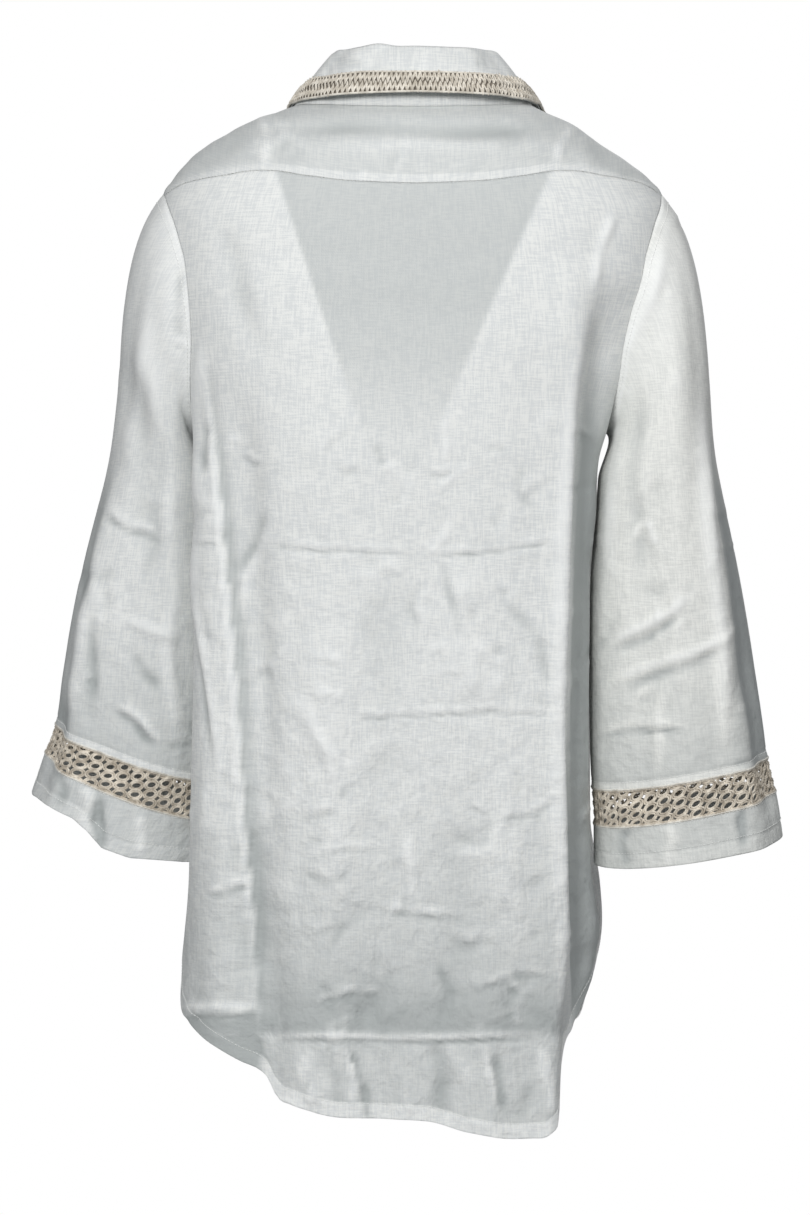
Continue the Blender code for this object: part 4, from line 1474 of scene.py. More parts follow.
def twisted_cord_group() -> NodeTree:
    """Cotton cord: patches of two shades and fine fibres, from a place in metres.

    Returns:
        The group.
    """
    tree, nodes = new_group(
        "twisted_cord",
        {"Vector": "NodeSocketVector", "Patch": "NodeSocketFloat"},
        {"Tone": "NodeSocketFloat", "Height": "NodeSocketFloat"},
    )
    start, end = nodes.add("NodeGroupInput"), nodes.add("NodeGroupOutput")
    scale = nodes.maths("DIVIDE", 1.0, start.outputs["Patch"])
    patches = nodes.noise(start.outputs["Vector"], scale, 2.0)
    fibres = nodes.noise(start.outputs["Vector"], 2600.0, 2.0)
    nodes.join(nodes.spread(patches, 0.36, 0.64), end.inputs["Tone"])
    nodes.join(fibres, end.inputs["Height"])
    return tree


WOVEN_LINEN = woven_linen_group()
TWISTED_CORD = twisted_cord_group()


@dataclass(frozen=True)
class Linen:
    """White linen: thin places look cooler and darker, two-layer places and painted light lighter,
    painted shade darker.
    """

    name: str
    bright: Colour = (0.80, 0.81, 0.79, 1)
    thin: Colour = (0.68, 0.70, 0.70, 1)
    # Colour for two-layer cloth and for painted light
    doubled: Colour = (0.88, 0.89, 0.88, 1)
    # Colour for painted shade
    seen_through: Colour = (0.42, 0.445, 0.44, 1)
    pitch: float = 0.0011
    slub: float = 3.7
    crumple: float = 0.0031
    roughness: float = 0.88
    sheen: float = 0.08

    def make(self) -> Material:
        """Make the material.

        Returns:
            The material.
        """
        material, nodes, shader = new_material(self.name)
        place = nodes.add("ShaderNodeUVMap", uv_map="cut").outputs["UV"]
        weave = nodes.add("ShaderNodeGroup", node_tree=WOVEN_LINEN)
        nodes.join(place, weave.inputs["Vector"])
        weave.inputs["Pitch"].default_value = self.pitch
        weave.inputs["Slub"].default_value = self.slub
        weave.inputs["Crumple"].default_value = self.crumple
        # Above nought: two-layer cloth and painted light; below nought: painted shade
        layers = nodes.add("ShaderNodeAttribute", attribute_name="layers").outputs["Fac"]
        more = nodes.maths("MAXIMUM", layers, 0.0)
        less = nodes.maths("MAXIMUM", nodes.maths("MULTIPLY", layers, -1.0), 0.0)
        plain = nodes.colour(weave.outputs["Tone"], self.thin, self.bright)
        lighter = nodes.colour(more, plain, self.doubled)
        nodes.join(nodes.colour(less, lighter, self.seen_through), shader.inputs["Base Color"])
        nodes.join(nodes.bump(weave.outputs["Height"], 1.0, 1.0), shader.inputs["Normal"])
        shader.inputs["Roughness"].default_value = self.roughness
        shader.inputs["Sheen Weight"].default_value = self.sheen
        shader.inputs["Sheen Roughness"].default_value = 0.5
        return material


@dataclass(frozen=True)
class Cord:
    """Cotton cord in two shades."""

    name: str
    light: Colour
    dark: Colour
    patch: float = 0.006
    roughness: float = 0.9
    sheen: float = 0.1

    def make(self) -> Material:
        """Make the material.

        Returns:
            The material.
        """
        material, nodes, shader = new_material(self.name)
        twist = nodes.add("ShaderNodeGroup", node_tree=TWISTED_CORD)
        nodes.join(nodes.add("ShaderNodeTexCoord").outputs["Object"], twist.inputs["Vector"])
        twist.inputs["Patch"].default_value = self.patch
        colour = nodes.colour(twist.outputs["Tone"], self.dark, self.light)
        nodes.join(colour, shader.inputs["Base Color"])
        nodes.join(nodes.bump(twist.outputs["Height"], 0.00012, 0.5), shader.inputs["Normal"])
        shader.inputs["Roughness"].default_value = self.roughness
        shader.inputs["Sheen Weight"].default_value = self.sheen
        return material


@dataclass
class Finishes:
    """Every material of the blouse."""

    linen: Material
    sleeve_linen: Material
    wrong_side: Material
    sleeve_inside: Material
    thread: Material
    lace_cord: Material
    lace_pale: Material
    braid_cord: Material
    braid_pale: Material
    braid_ground: Material

    def sleeve_right_side(self, side: Side) -> Material:
        """The linen of a sleeve's right side: the right sleeve gets a lighter, warmer copy for painted
        light.
        """
        return self.sleeve_linen if side is Side.RIGHT else self.linen

    @classmethod
    def make_all(cls) -> "Finishes":
        """Make them.

        Returns:
            The materials.
        """
        # A lighter copy of the linen: painted light on the right sleeve
        warm = Linen("linen_sleeve", bright=(0.83, 0.835, 0.80, 1), thin=(0.72, 0.73, 0.705, 1))
        # A darker copy of the linen: painted shade on the wrong side
        inside = Linen("linen_inside", bright=(0.72, 0.73, 0.71, 1), thin=(0.60, 0.61, 0.60, 1))
        # A much darker copy: painted shade inside the sleeves, seen through cuffs and lace holes
        shaded = Linen("linen_sleeve_inside", bright=(0.50, 0.50, 0.47, 1), thin=(0.40, 0.40, 0.38, 1))
        return cls(
            linen=Linen("linen").make(),
            sleeve_linen=warm.make(),
            wrong_side=inside.make(),
            sleeve_inside=shaded.make(),
            thread=Cord("white_thread", (0.86, 0.87, 0.85, 1), (0.74, 0.75, 0.73, 1)).make(),
            lace_cord=Cord("lace_cord", (0.80, 0.73, 0.62, 1), (0.44, 0.385, 0.31, 1)).make(),
            lace_pale=Cord("lace_edge_cord", (0.78, 0.76, 0.70, 1), (0.60, 0.57, 0.51, 1)).make(),
            braid_cord=Cord("braid_cord", (0.82, 0.77, 0.68, 1), (0.56, 0.51, 0.43, 1)).make(),
            braid_pale=Cord("braid_edge_cord", (0.80, 0.76, 0.68, 1), (0.58, 0.54, 0.47, 1)).make(),
            # Near black: painted shade in the gaps of the braid
            braid_ground=Cord("braid_ground", (0.27, 0.235, 0.19, 1), (0.17, 0.145, 0.115, 1)).make(),
        )


@dataclass
class Sewn:
    """What every cut piece shares: its cloth, and the stitches along the cloth's rows."""

    cloth: Cloth | None = field(default=None, init=False, repr=False)

    def rows_at(self, heights: Sequence[float], columns: slice = slice(None)) -> list[Line]:
        """The rows of the creased cloth nearest to some heights.

        Args:
            heights: Metres from the cloth's first row.
            columns: The columns to keep.

        Returns:
            Places and directions out of the cloth along each row.
        """
        normals = self.cloth.normals()
        run = self.cloth.v[len(self.cloth.v) // 2]
        rows = [int(np.argmin(np.abs(run - height))) for height in heights]
        return [(self.cloth.points[columns, row], normals[columns, row]) for row in rows]


@dataclass(frozen=True)
class ShownThrough:
    """Painted shade and light on the thin back: pixels of its edges, and shares of painted shade."""

    v_shade: float = 0.56
    v_bottom: float = 500.0
    v_fade: float = 220.0
    v_soft_left: float = 5.0
    v_soft_right: float = 9.0
    vent_shade: float = 0.60
    vent_edge: float = 256.0
    vent_top: float = 1009.0
    hem_light: float = 0.2
    hem_row: float = 1034.0
    hem_half: float = 2.2
    hem_start: float = 200.0
    hem_end: float = 580.0
    two_layers: float = 0.55
    two_layers_top: float = 930.0
    two_layers_left: float = 257.0
    turned_shade: float = 0.62
    turned_soft: float = 14.0
    turned_top: float = 350.0
    low_shade: float = 0.40
    low_top: float = 740.0

    def tone(self, points: Array) -> Array:
        """Painted light and shade where layers in front show through, and shade where the back turns
        away.

        Args:
            points: The back's points.

        Returns:
            Negative for painted shade, as over the open V neck, positive for painted light.
        """
        across, down = PHOTO.seen(points)
        # Painted shade over the open V neck, where the dark inside shows through
        inside = ease((across - read_pairs(V_LEFT_EDGE, down)) / self.v_soft_left + 0.5)
        inside = inside * ease((read_pairs(V_RIGHT_EDGE, down) - across) / self.v_soft_right + 0.5)
        open_v = self.v_shade * inside * ease((self.v_bottom - down) / self.v_fade)
        # Painted shade below the front's hem at the side
        beside = ease((self.vent_edge - across) / 6 + 0.5)
        vent = beside * ease((down - self.vent_top) / 7 + 0.5) * self.vent_shade
        # A painted light line along the front's hem, seen through the back
        hem = np.exp(-0.5 * ((down - self.hem_row) / self.hem_half) ** 2)
        hem = hem * ease((across - self.hem_start) / 30) * ease((self.hem_end - across) / 20)
        # Painted shade between the two layers above the front's hem
        growing = ease((down - self.two_layers_top) / 104) ** 1.5 * ease((1035 - down) / 2 + 0.5)
        double = self.two_layers * growing * ease((across - self.two_layers_left) / 6)
        # Painted shade past the turning edge, where the side turns from the light
        turned = ease((across - read_pairs(TURNING_EDGE, down)) / self.turned_soft)
        turned = self.turned_shade * turned * ease((down - self.turned_top) / 100)
        # Painted shade, darker towards the hem
        low = self.low_shade * ease((down - self.low_top) / 240)
        return self.hem_light * hem - open_v - double - turned - low - vent


@dataclass
class Panel(Sewn):
    """A back or front panel: cloth on the body between hem, side seams, armholes and top.

    Args:
        name: The piece's name.
        place: Gives its points from c and t.
        behind: True for the back.
        replaced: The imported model's node that it stands for.
        columns: Grid steps across.
        rows: Grid steps between hem and top.
        creases: Its creases, in pixels.
        seed: Start of its unevenness.
    """

    name: str
    place: Callable[[Array, Array], Array]
    behind: bool
    replaced: str
    columns: int
    rows: int
    creases: Sequence[Crease]
    seed: int
    hem_width: float = 0.0115
    seam_half: float = 0.0012
    hem_tone: float = 0.55
    hem_corner: float = 250.0
    fine_hem: float = 0.016
    seam_hold: float = 0.014
    top_hold: float = 0.15
    girth_radius: float = 0.165
    side_spread: float = 0.62
    loose: int = 250
    gain: float = 1.7

    def build(self, finishes: Finishes) -> Object:
        """Make the panel with its creases, its hem, and painted shade and light on the back.

        Args:
            finishes: The materials.

        Returns:
            The piece.
        """
        quarter = math.pi / 2 * self.side_spread
        c = np.sin(np.linspace(-1, 1, self.columns + 1) * quarter) / math.sin(quarter)
        t = graded(self.rows, run_length(self.place, 0.0, 0, 1, 60), self.fine_hem, 0.0)
        cloth = self.cloth = Cloth(self.name, grid(self.place, c, t), inward=not self.behind)
        ahead = -1 if self.behind else 1
        round_it = np.arctan2(cloth.points[..., 0], ahead * cloth.points[..., 1])
        cloth.cut_u, cloth.cut_v = round_it * self.girth_radius, -cloth.points[..., 2]
        from_side = np.minimum(cloth.u, cloth.u[-1:] - cloth.u)
        from_top = cloth.v[:, -1:] - cloth.v
        cloth.held = ease(from_side / self.seam_hold) * ease(self.top_hold + from_top / self.seam_hold)
        cloth.crease(self.creases, self.seed, self.behind, self.gain)
        loose = loose_creases(self.loose, BODY_BOX, self.seed + 1)
        cloth.crease(loose, self.seed + 2, self.behind, self.gain)
        cloth.seam(cloth.v - self.hem_width, SEAM_DEPTH, self.seam_half)
        doubled = self.hem_tone * ease((self.hem_width + MM - cloth.v) / self.seam_half)
        if self.behind:
            across, _ = PHOTO.seen(cloth.points)
            doubled = doubled * ease((across - self.hem_corner) / 10)
            # Painted shade and light on the back, added to the hem's lighter two-layer band
            doubled = doubled + ShownThrough().tone(cloth.points)
        cloth.shade = cloth.shade + doubled
        return cloth.sew_on(finishes.linen, finishes.wrong_side, self.replaced, "hung", ["yoke_cloth"])

    def stitch_lines(self) -> list[Line]:
        """The hem's sewn line, as places and directions on the creased cloth."""
        return [(line + out * 0.0001, out) for line, out in self.rows_at([self.hem_width])]


@dataclass
class Yoke(Sewn):
    """The yoke over the shoulders, of two layers along its lower seam."""

    seam_columns: int = 65
    shoulder_columns: int = 29
    rows: int = 44
    band: float = 0.0068
    fine_foot: float = 0.010
    band_tone: float = 0.28
    # Painted shade over the whole yoke, which slopes away from the frontal light
    shade: float = 0.38
    seam_depth: float = 0.00045
    loose: int = 26
    gain: float = 1.0
    seed: int = 31

    def build(self, finishes: Finishes) -> Object:
        """Make the yoke.

        Args:
            finishes: The materials.

        Returns:
            The piece.
        """
        corner = BODY.yoke_corner_share
        over_back = np.linspace(0, corner, self.seam_columns + 1)[:-1]
        side = np.concatenate([over_back, np.linspace(corner, 1, self.shoulder_columns + 1)])
        c = np.concatenate([-side[:0:-1], side])
        t = graded(self.rows, run_length(BODY.yoke, 0.0, 0, 1, 40), 0.0, self.fine_foot)
        cloth = self.cloth = Cloth("yoke_cloth", grid(BODY.yoke, c, t), inward=True)
        to_seam = cloth.v[:, -1:] - cloth.v
        cloth.cut_u = cloth.points[..., 0]
        cloth.held = ease(0.1 + to_seam / 0.012)
        on_back = (np.abs(c) <= corner)[:, None]
        cloth.crease(YOKE_CREASES, self.seed, gain=self.gain)
        cloth.crease(loose_creases(self.loose, YOKE_BOX, self.seed + 1), self.seed + 2)
        cloth.seam(np.where(on_back, to_seam - self.band, 1.0), self.seam_depth, SEAM_HALF)
        band = self.band_tone * ease((self.band - to_seam) / MM + 0.5)
        # Painted shade over the whole yoke, and its lighter two-layer band along the seam
        cloth.shade = cloth.shade + np.where(on_back, band, 0.0) - self.shade
        return cloth.sew_on(finishes.linen, finishes.wrong_side, "yoke", "laid", ["wearer"])

    def stitch_lines(self) -> list[Line]:
        """Two rows of stitches along the lower seam.

        Returns:
            Places and directions along each row.
        """
        middle = len(self.cloth.points) // 2
        columns = slice(middle - self.seam_columns + 1, middle + self.seam_columns)
        return self.rows_at([self.cloth.length - 0.0012, self.cloth.length - self.band], columns)


@dataclass
class Sleeve(Sewn):
    """A sleeve of cloth down to the insertion."""

    side: Side
    columns: int = 156
    cap_rows: int = 47
    low_rows: int = 80
    seed: int = 51
    seam_hold: float = 0.012
    band: float = 0.0055
    band_tone: float = 0.5
    cap_seam: float = 0.007
    cap_tone: float = 0.3
    girth: float = 0.40
    end_hold: float = 0.2
    # Painted shade on the outer facet, which turns from the light
    facet_turn: float = 44.0
    facet_soft: float = 9.0
    facet_top: float = 0.8
    facet_shade: float = 0.70
    # Painted light on the cap and painted shade towards the hem
    cap_foot: float = 0.7
    cap_light: float = 0.25
    low_top: float = 1.6
    low_fade: float = 1.4
    low_shade: float = 0.50
    fade: float = 0.5
    loose: tuple[int, int] = (44, 30)
    gain: float = 1.8

    def build(self, finishes: Finishes) -> Object:
        """Make the sleeve.

        Args:
            finishes: The materials.

        Returns:
            The piece.
        """
        turns = np.linspace(0, 360, self.columns + 1)
        cap = np.linspace(0, 1, self.cap_rows + 1)[:-1]
        stations = np.concatenate([cap, np.linspace(1, 3, self.low_rows + 1)])
        points = grid(SleeveForm(self.side).point, turns, stations)
        name = f"{self.side.word}_sleeve_cloth"
        cloth = self.cloth = Cloth(name, points, inward=self.side is Side.LEFT, closed=True)
        cloth.cut_u = np.repeat(turns[:, None] * self.girth / 360, len(stations), axis=1)
        cloth.cut_v = -points[..., 2]
        to_end = cloth.v[:, -1:] - cloth.v
        cloth.held = ease(cloth.v / self.seam_hold) * ease(self.end_hold + to_end / self.seam_hold)
        box = SLEEVE_BOXES[self.side]
        cloth.crease(SLEEVE_CREASES[self.side], self.seed, gain=self.gain)
        cloth.crease(loose_creases(self.loose[0], box, self.seed + 1), self.seed + 2, gain=self.gain)
        cloth.crease(FRONT_CREASES, self.seed + 3, False, self.gain)
        in_front = loose_creases(self.loose[1], box, self.seed + 4)
        cloth.crease(in_front, self.seed + 5, False, self.gain)
        cloth.seam(to_end - self.band, SEAM_DEPTH, SEAM_HALF)
        band = self.band_tone * ease((self.band - to_end) / MM + 0.5)
        band = band + self.cap_tone * ease((self.cap_seam - cloth.v) / MM)
        # Painted shade on the outer facet, which turns from the light
        facet = self.facet_shade * ease((self.facet_turn - turns) / self.facet_soft)[:, None]
        facet = facet * ease((stations - self.facet_top) / self.fade)[None, :]
        # Painted shade towards the hem, painted light on the cap
        low = self.low_shade * ease((stations - self.low_top) / self.low_fade)
        low = low - self.cap_light * ease((self.cap_foot - stations) / self.fade)
        cloth.shade = cloth.shade + band - facet - low[None, :]
        return cloth.sew_on(
            finishes.sleeve_right_side(self.side),
            finishes.sleeve_inside,
            f"{self.side.word}_sleeve",
            "hung",
            ["yoke_cloth", "back_cloth"],
        )

    def stitch_lines(self) -> list[Line]:
        """Stitches by the armhole and above the insertion."""
        length = float(self.cloth.v[len(self.cloth.v) // 2, -1])
        return self.rows_at([0.0016, length - self.band])


@dataclass
class Cuff(Sewn):
    """The band of cloth below the insertion."""

    side: Side
    columns: int = 156
    rows: int = 10
    hem_width: float = 0.011
    fine_top: float = 0.004
    fine_foot: float = 0.014
    hem_tone: float = 0.12
    # Painted shade over the whole band, low on the sleeve
    shade: float = 0.42
    most_wave: float = 0.008
    gain: float = 1.8
    seed: int = 71

    def build(self, finishes: Finishes) -> Object:
        """Make the band.

        Args:
            finishes: The materials.

        Returns:
            The piece.
        """
        form = SleeveForm(self.side)
        turns = np.linspace(0, 360, self.columns + 1)
        length = run_length(form.point, 180.0, 4, 5, 20)
        stations = 4 + graded(self.rows, length, self.fine_top, self.fine_foot)
        points = grid(form.point, turns, stations)
        points[..., 2] -= self.hem_wave(points[:, -1], turns)[:, None] * (stations - 4)[None, :] ** 1.3
        name = f"{self.side.word}_cuff_cloth"
        cloth = self.cloth = Cloth(name, points, inward=self.side is Side.LEFT, closed=True)
        cloth.cut_v = -points[..., 2]
        cloth.held = ease(0.3 + cloth.v / 0.010)
        cloth.crease(CUFF_CREASES[self.side], self.seed, gain=self.gain)
        to_hem = cloth.v[:, -1:] - cloth.v
        cloth.seam(to_hem - self.hem_width, SEAM_DEPTH, SEAM_HALF)
        hem = self.hem_tone * ease((self.hem_width - to_hem) / MM + 0.5)
        # Painted shade over the whole band, with its hem's lighter band
        cloth.shade = cloth.shade + hem - self.shade
        return cloth.sew_on(
            finishes.sleeve_right_side(self.side),
            finishes.sleeve_inside,
            f"{self.side.word}_cuff",
            "hung",
            [f"{self.side.word}_lace_edges"],
        )

    def hem_wave(self, hem: Array, turns: Array) -> Array:
        """How far the hem behind hangs below its plain ring, where the photograph shows it wavy.

        Args:
            hem: The plain hem's points.
            turns: Their turns round the sleeve.

        Returns:
            Metres down.
        """
        seen = CUFF_HEM.get(self.side)
        if seen is None:
            return np.zeros_like(turns)
        across, down = PHOTO.seen(hem)
        behind = ease(np.sin(np.radians(turns)) * 2.5)
        wave = (read_pairs(seen, across) - down) * PHOTO.pixel
        return np.clip(wave, -self.most_wave, self.most_wave) * behind

    def stitch_lines(self) -> list[Line]:
        """The hem's stitches and those below the insertion."""
        length = float(self.cloth.v[len(self.cloth.v) // 2, -1])
        return self.rows_at([0.0014, length - self.hem_width])


@dataclass
class Openwork:
    """A corded insertion: two loops of two-ply cord round each slanting hole, between edge cords."""

    side: Side
    columns: int = 36
    rows: int = 4
    inner_width: float = 0.66
    inner_height: float = 0.70
    outer_width: float = 0.93
    outer_height: float = 1.04
    inner_rise: float = 0.0002
    outer_rise: float = 0.0006
    ply: float = 0.00078
    twists: int = 14
    steps: int = 26
    slant: float = 0.13
    shift: float = 4 / 9
    sunk: float = 0.0013
    edge_lift: float = 0.0002
    fine_lift: float = 0.0012
    margin: float = 0.08
    edge: float = 0.03
    edge_radius: float = 0.0012
    fine_radius: float = 0.0007
    edge_twists: int = 140

    def place(self, turn: Array, height: Array, lift: Array) -> Array:
        """A point of the insertion.

        Args:
            turn: Degrees round the sleeve.
            height: 0 at the insertion's top to 1 at its foot.
            lift: Metres above the level of the cords.

        Returns:
            Places in metres, (..., 3).
        """
        form = SleeveForm(self.side)
        station = self.station(height)
        return form.point(turn, station) + form.normal(turn, station) * (lift - self.sunk)[..., None]

    def station(self, height: Array) -> Array:
        """The sleeve's station at an even share of the insertion's height.

        Args:
            height: 0 at the insertion's top to 1 at its foot.

        Returns:
            Stations from 3 to 4.
        """
        stations = np.linspace(3, 4, 21)
        line = SleeveForm(self.side).point(np.full(21, 90.0), stations)
        run = np.concatenate([[0], np.cumsum(np.linalg.norm(np.diff(line, axis=0), axis=1))])
        return np.interp(height, run / run[-1], stations)

    def levels(self, column: int) -> list[float]:
        """Heights of the holes in a column: each next column sits lower in the picture.

        Args:
            column: Its number.

        Returns:
            Shares of the insertion's height.
        """
        start = (-self.side.value * self.shift * column) % 1
        every = (start + np.arange(-1, self.rows + 1)) / self.rows
        return [level for level in every if -self.margin < level < 1 + self.margin]

    def loops(self, width: float, height: float, rise: float) -> Line:
        """Centre lines of one loop round every hole.

        Args:
            width: The loop's width as a share of the column pitch.
            height: Its height as a share of the row pitch.
            rise: How far it rises above and sinks below its neighbours, in metres.

        Returns:
            Places and directions out of the lace.
        """
        form = SleeveForm(self.side)
        pitch = 360 / self.columns
        theta = np.linspace(0, 2 * math.pi, self.steps, endpoint=False)
        across = np.cos(theta) * width / 2
        down = np.sin(theta) * height / self.rows / 2
        lean = self.side.value * self.slant * across
        paths, ups = [], []
        for column in range(self.columns):
            for level in self.levels(column):
                turn = (column + 0.5 + across) * pitch
                station = np.clip(level + down + lean, self.edge, 1 - self.edge)
                lift = rise * np.cos(2 * theta + math.pi * (column % 2))
                paths.append(self.place(turn, station, lift))
                ups.append(form.normal(turn, self.station(station)))
        return np.array(paths), np.array(ups)

    def ring_cords(
        self, name: str, levels: tuple[float, float], lift: float, radius: float, finish: Material
    ) -> Object:
        """Cords that run round the sleeve.

        Args:
            name: The last word of the piece's name.
            levels: Their heights as shares of the insertion's.
            lift: Metres above the level of the loops.
            radius: Half their thickness.
            finish: Their material.

        Returns:
            The piece.
        """
        turns = np.linspace(0, 360, 288, endpoint=False)
        lifts = np.full_like(turns, lift)
        form = SleeveForm(self.side)
        lines = [self.place(turns, np.full_like(turns, level), lifts) for level in levels]
        ups = [form.normal(turns, np.full_like(turns, 3 + level)) for level in levels]
        return cords(f"{self.side.word}_lace_{name}", np.array(lines), np.array(ups), radius, 8, finish,
                     closed=True, twists=self.edge_twists)

    def build(self, finishes: Finishes) -> list[Object]:
        """Make the loops, the edge cords and the fine cords on the joins.

        Args:
            finishes: The materials.

        Returns:
            The pieces.
        """
        word = self.side.word
        pieces = []
        for name, width, height, rise in (
            ("inner", self.inner_width, self.inner_height, self.inner_rise),
            ("outer", self.outer_width, self.outer_height, self.outer_rise),
        ):
            paths, ups = self.loops(width, height, rise)
            name = f"{word}_lace_{name}_loops"
            pieces.append(cords(name, paths, ups, self.ply, 7, finishes.lace_cord,
                                closed=True, twists=self.twists))
        for name, levels, lift, radius, finish in (
            ("edges", (self.edge, 1 - self.edge), self.edge_lift, self.edge_radius, finishes.lace_cord),
            ("selvedge", (0.0, 1.0), self.fine_lift, self.fine_radius, finishes.lace_pale),
        ):
            pieces.append(self.ring_cords(name, levels, lift, radius, finish))
        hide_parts(f"{word}_openwork_back", f"{word}_openwork_front")
        return pieces


@dataclass
class Collar:
    """A fold-over collar: a stand, a fall and a plaited braid along the fall's edge."""

    columns: int = 210
    stand_rows: int = 14
    fall_rows: int = 22
    fall_shade: float = 0.08
    puckers: int = 24
    pucker_start: float = 300.0
    pucker_half: float = 1.9
    loose: int = 14
    braid_share: float = 0.40
    reach: float = 0.997
    plait_rows: int = 2
    strand: float = 0.00060
    strand_step: float = 0.17
    period: float = 0.0062
    swing: float = 0.37
    uneven: float = 0.25
    plait_lift: float = 0.0020
    plait_rise: float = 0.0006
    edge_radius: float = 0.0009
    edge_lift: float = 0.0015
    edges: tuple[float, float] = (-0.01, 1.02)
    # Lift and thickness of the dark sheet of painted shade under the cords
    ground_lift: float = 0.0011
    ground_wall: float = 0.0006
    seed: int = 91

    def build(self, finishes: Finishes) -> list[Object]:
        """Make the collar's cloth and its braid.

        Args:
            finishes: The materials.

        Returns:
            The pieces.
        """
        angles = np.linspace(-NECK.end_angle, NECK.end_angle, self.columns + 1)
        share = np.linspace(0, 1, self.stand_rows + 1)
        stand = Cloth("collar_stand_cloth", grid(NECK.stand, angles, share))
        across, _ = PHOTO.seen(stand.points)
        rng = np.random.default_rng(self.seed)
        pucker = np.zeros_like(across)
        for middle in np.cumsum(rng.uniform(5, 13, self.puckers)) + self.pucker_start:
            bell = np.exp(-0.5 * ((across - middle) / self.pucker_half) ** 2)
            pucker = pucker + rng.uniform(0.2, 0.6) * MM * bell
        stand.lift(pucker * ease(1.1 - share[None, :]))
        fall_share = np.linspace(0, 1, self.fall_rows + 1)
        fall = Cloth("collar_fall_cloth", grid(NECK.fall, angles, fall_share))
        fall.crease(loose_creases(self.loose, COLLAR_BOX, self.seed), self.seed + 1)
        fall.shade = fall.shade - self.fall_shade
        pieces = []
        for cloth, node in ((stand, "collar_stand"), (fall, "collar_fall")):
            cloth.cut_u, cloth.cut_v = cloth.points[..., 0], -cloth.points[..., 2]
            pieces.append(
                cloth.sew_on(finishes.linen, finishes.wrong_side, node, "folded", ["yoke_cloth"])
            )
        return pieces + self.braid(finishes)

    def on_fall(self, angle: Array, share: Array, lift: Array) -> Line:
        """Places above the braid's part of the fall.

        Args:
            angle: Degrees round the neck.
            share: 0 at the free edge to 1 at the braid's upper edge.
            lift: Metres above the cloth.

        Returns:
            Places and directions out of the fall.
        """
        t = share * self.braid_share
        out = NECK.fall_normal(angle, t)
        return NECK.fall(angle, t) + out * lift[..., None], out

    def ground_place(self, angle: Array, share: Array) -> Array:
        """Places of the dark sheet of painted shade under the cords."""
        return self.on_fall(angle, share, np.full_like(angle, self.ground_lift))[0]

    def plait(self, angle: Array, run: Array, waves: int) -> list[Line]:
        """The zigzag strands, which pass over and under one another.

        Args:
            angle: Degrees round the neck.
            run: Shares of the way along the braid.
            waves: How many zigzags it has.

        Returns:
            Places and directions out of the fall along each strand.
        """
        rng = np.random.default_rng(self.seed)
        phase = run * waves
        zigzag = 4 * np.abs(phase - np.floor(phase) - 0.5) - 1
        lines = []
        for row in range(self.plait_rows):
            for strand in (-1, 0, 1):
                drawn = np.interp(run, np.linspace(0, 1, 60), rng.normal(0, 1, 60))
                swing = self.swing * zigzag * (1 + self.uneven * drawn)
                share = (row + 0.5 + self.strand_step * strand + swing) / self.plait_rows
                lift = self.plait_lift + self.plait_rise * np.sin(4 * math.pi * phase + strand)
                lines.append(self.on_fall(angle, share, lift))
        return lines

    def braid(self, finishes: Finishes) -> list[Object]:
        """Rows of zigzag cord over a dark sheet of painted shade, with a fine cord along each edge.

        Args:
            finishes: The materials.

        Returns:
            The pieces.
        """
        middle = NECK.fall(np.linspace(-NECK.end_angle, NECK.end_angle, 400), np.full(400, 0.15))
        length = float(np.linalg.norm(np.diff(middle, axis=0), axis=1).sum())
        waves = round(length / self.period)
        run = np.linspace(0, 1, waves * 12 + 1)
        angle = mix(-NECK.end_angle, NECK.end_angle, run) * self.reach
        low_and_high = [
            self.on_fall(angle, np.full_like(run, level), np.full_like(run, self.edge_lift))
            for level in self.edges
        ]
        pieces = []
        for name, lines, radius, finish, flat in (
            ("collar_zigzags", self.plait(angle, run, waves), self.strand, finishes.braid_cord, 0.8),
            ("collar_braid_edges", low_and_high, self.edge_radius, finishes.braid_pale, 1.0),
        ):
            paths, ups = (np.array(rows) for rows in zip(*lines))
            pieces.append(cords(name, paths, ups, radius, 6, finish, flat=flat))
        # A dark sheet under the cords: painted shade in the gaps between them
        strip = grid(self.ground_place, angle[::6], np.linspace(0, 1, 5))
        ground = Cloth("collar_braid_ground", strip, wall=self.ground_wall)
        pieces.append(ground.build(finishes.braid_ground, finishes.braid_ground, "braid"))
        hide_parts("collar_braid")
        return pieces


class Lamp(NamedTuple):
    """A square soft light: its place and size in metres, and its power in watts."""

    name: str
    place: tuple[float, float, float]
    size: float
    power: float


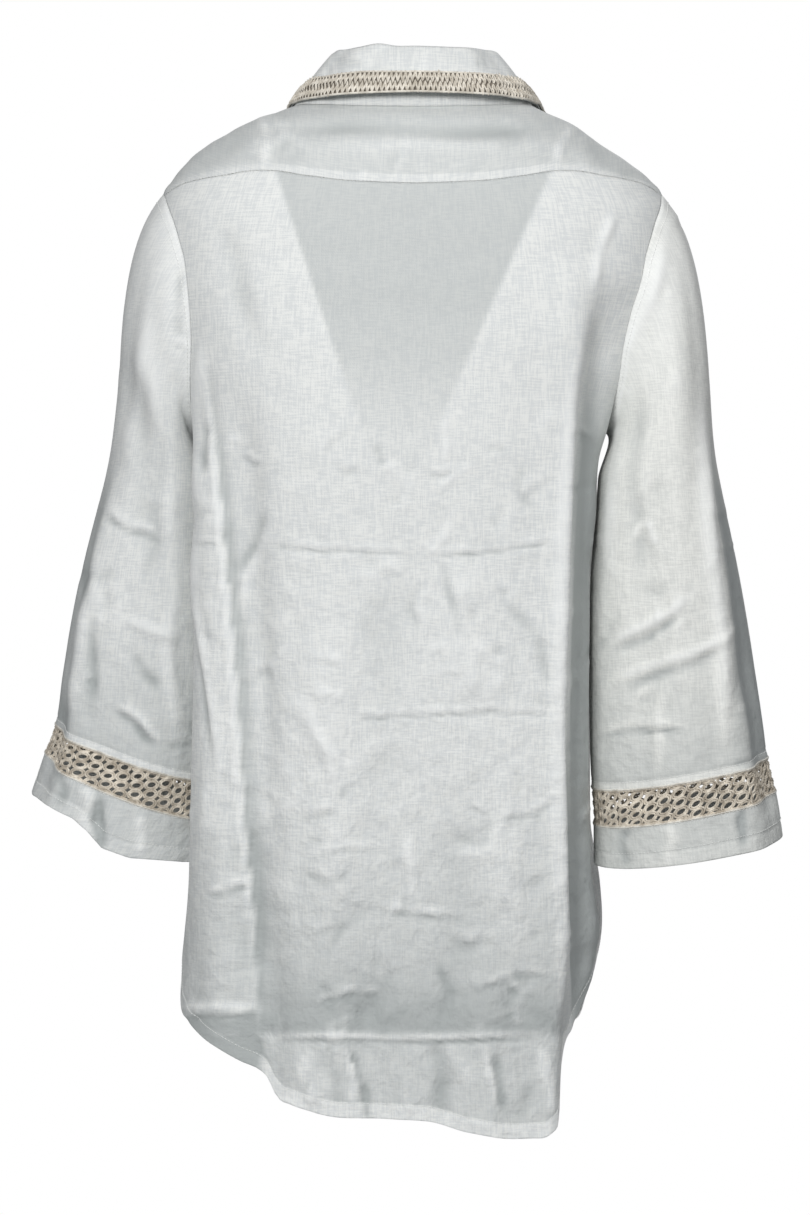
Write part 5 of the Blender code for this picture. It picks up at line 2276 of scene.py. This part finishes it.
@dataclass
class Studio:
    """A white room with soft light, and a small pale floor."""

    floor_z: float = -0.90
    floor_width: float = 1.2
    floor_depth: float = 0.5
    floor_colour: Colour = (0.9, 0.9, 0.9, 1)
    aim: tuple[float, float, float] = (0.0, 0.0, -0.4)
    lamps: tuple[Lamp, ...] = (
        Lamp("key", (-0.8, -2.75, 0.5), 0.8, 57.0),
        Lamp("sky", (0.3, -1.7, 1.9), 1.6, 12.0),
        Lamp("fill", (1.9, -1.7, 1.1), 1.2, 17.0),
        Lamp("far", (0.4, 2.4, 0.7), 1.6, 34.0),
    )
    room_colour: Colour = (0.93, 0.96, 1.0, 1)
    room_strength: float = 0.16
    seen_colour: Colour = (1, 1, 1, 1)

    def add_lamp(self, lamp: Lamp) -> None:
        """Put a lamp in place, aimed at the blouse's middle.

        Args:
            lamp: The lamp.
        """
        data = bpy.data.lights.new(lamp.name, "AREA")
        data.size = lamp.size
        data.energy = lamp.power
        light = bpy.data.objects.new(lamp.name, data)
        light.location = lamp.place
        way = Vector(self.aim) - Vector(lamp.place)
        light.rotation_euler = way.to_track_quat("-Z", "Y").to_euler()
        bpy.context.collection.objects.link(light)

    def lay_floor(self) -> None:
        """Make the floor."""
        mesh = bpy.data.meshes.new("floor")
        x, y, z = self.floor_width / 2, self.floor_depth / 2, self.floor_z
        mesh.from_pydata([(-x, -y, z), (x, -y, z), (x, y, z), (-x, y, z)], [], [(0, 1, 2, 3)])
        floor = bpy.data.objects.new("floor", mesh)
        pale, _, shader = new_material("floor")
        shader.inputs["Base Color"].default_value = self.floor_colour
        shader.inputs["Roughness"].default_value = 0.95
        mesh.materials.append(pale)
        bpy.context.collection.objects.link(floor)

    def build(self) -> None:
        """Make the floor, the lights and the surroundings."""
        self.lay_floor()
        for lamp in self.lamps:
            self.add_lamp(lamp)
        world = bpy.data.worlds.new("room")
        bpy.context.scene.world = world
        world.use_nodes = True
        nodes = Nodes(world.node_tree)
        seen = nodes.add("ShaderNodeBackground")
        seen.inputs["Color"].default_value = self.seen_colour
        seen.inputs["Strength"].default_value = 1.0
        lit = world.node_tree.nodes["Background"]
        lit.inputs["Color"].default_value = self.room_colour
        lit.inputs["Strength"].default_value = self.room_strength
        choose = nodes.add("ShaderNodeMixShader")
        nodes.join(nodes.add("ShaderNodeLightPath").outputs["Is Camera Ray"], choose.inputs[0])
        nodes.join(lit.outputs[0], choose.inputs[1])
        nodes.join(seen.outputs[0], choose.inputs[2])
        nodes.join(choose.outputs[0], world.node_tree.nodes["World Output"].inputs["Surface"])


def clear_start_scene() -> None:
    """Remove the cube, lamp and camera that a new Blender file holds."""
    for name in ("Cube", "Light", "Camera"):
        thing = bpy.data.objects.get(name)
        if thing is not None:
            bpy.data.objects.remove(thing)


def main() -> None:
    """Build the blouse and its surroundings."""
    logging.basicConfig(level=logging.INFO, format="%(name)s: %(message)s")
    clear_start_scene()
    finishes = Finishes.make_all()
    back = Panel("back_cloth", BODY.back, True, "back_panel", 176, 254, BACK_CREASES, 11)
    front = Panel("front_cloth", BODY.front, False, "front_panel", 90, 170, FRONT_CREASES, 21)
    parts = [back, front, Yoke()]
    for side in Side:
        parts += [Sleeve(side), Cuff(side)]
    for part in parts:
        piece = part.build(finishes)
        LOG.info("%s: %d points", piece.name, len(piece.data.vertices))
    lines = [line for part in parts for line in part.stitch_lines()]
    LOG.info("%s", stitches("seam_stitches", lines, finishes.thread).name)
    for part in [Openwork(side) for side in Side] + [Collar()]:
        for piece in part.build(finishes):
            LOG.info("%s: %d points", piece.name, len(piece.data.vertices))
    Studio().build()
    PHOTO.place_camera()
    bpy.context.scene.view_settings.view_transform = "Standard"


if __name__ == "__main__":
    main()
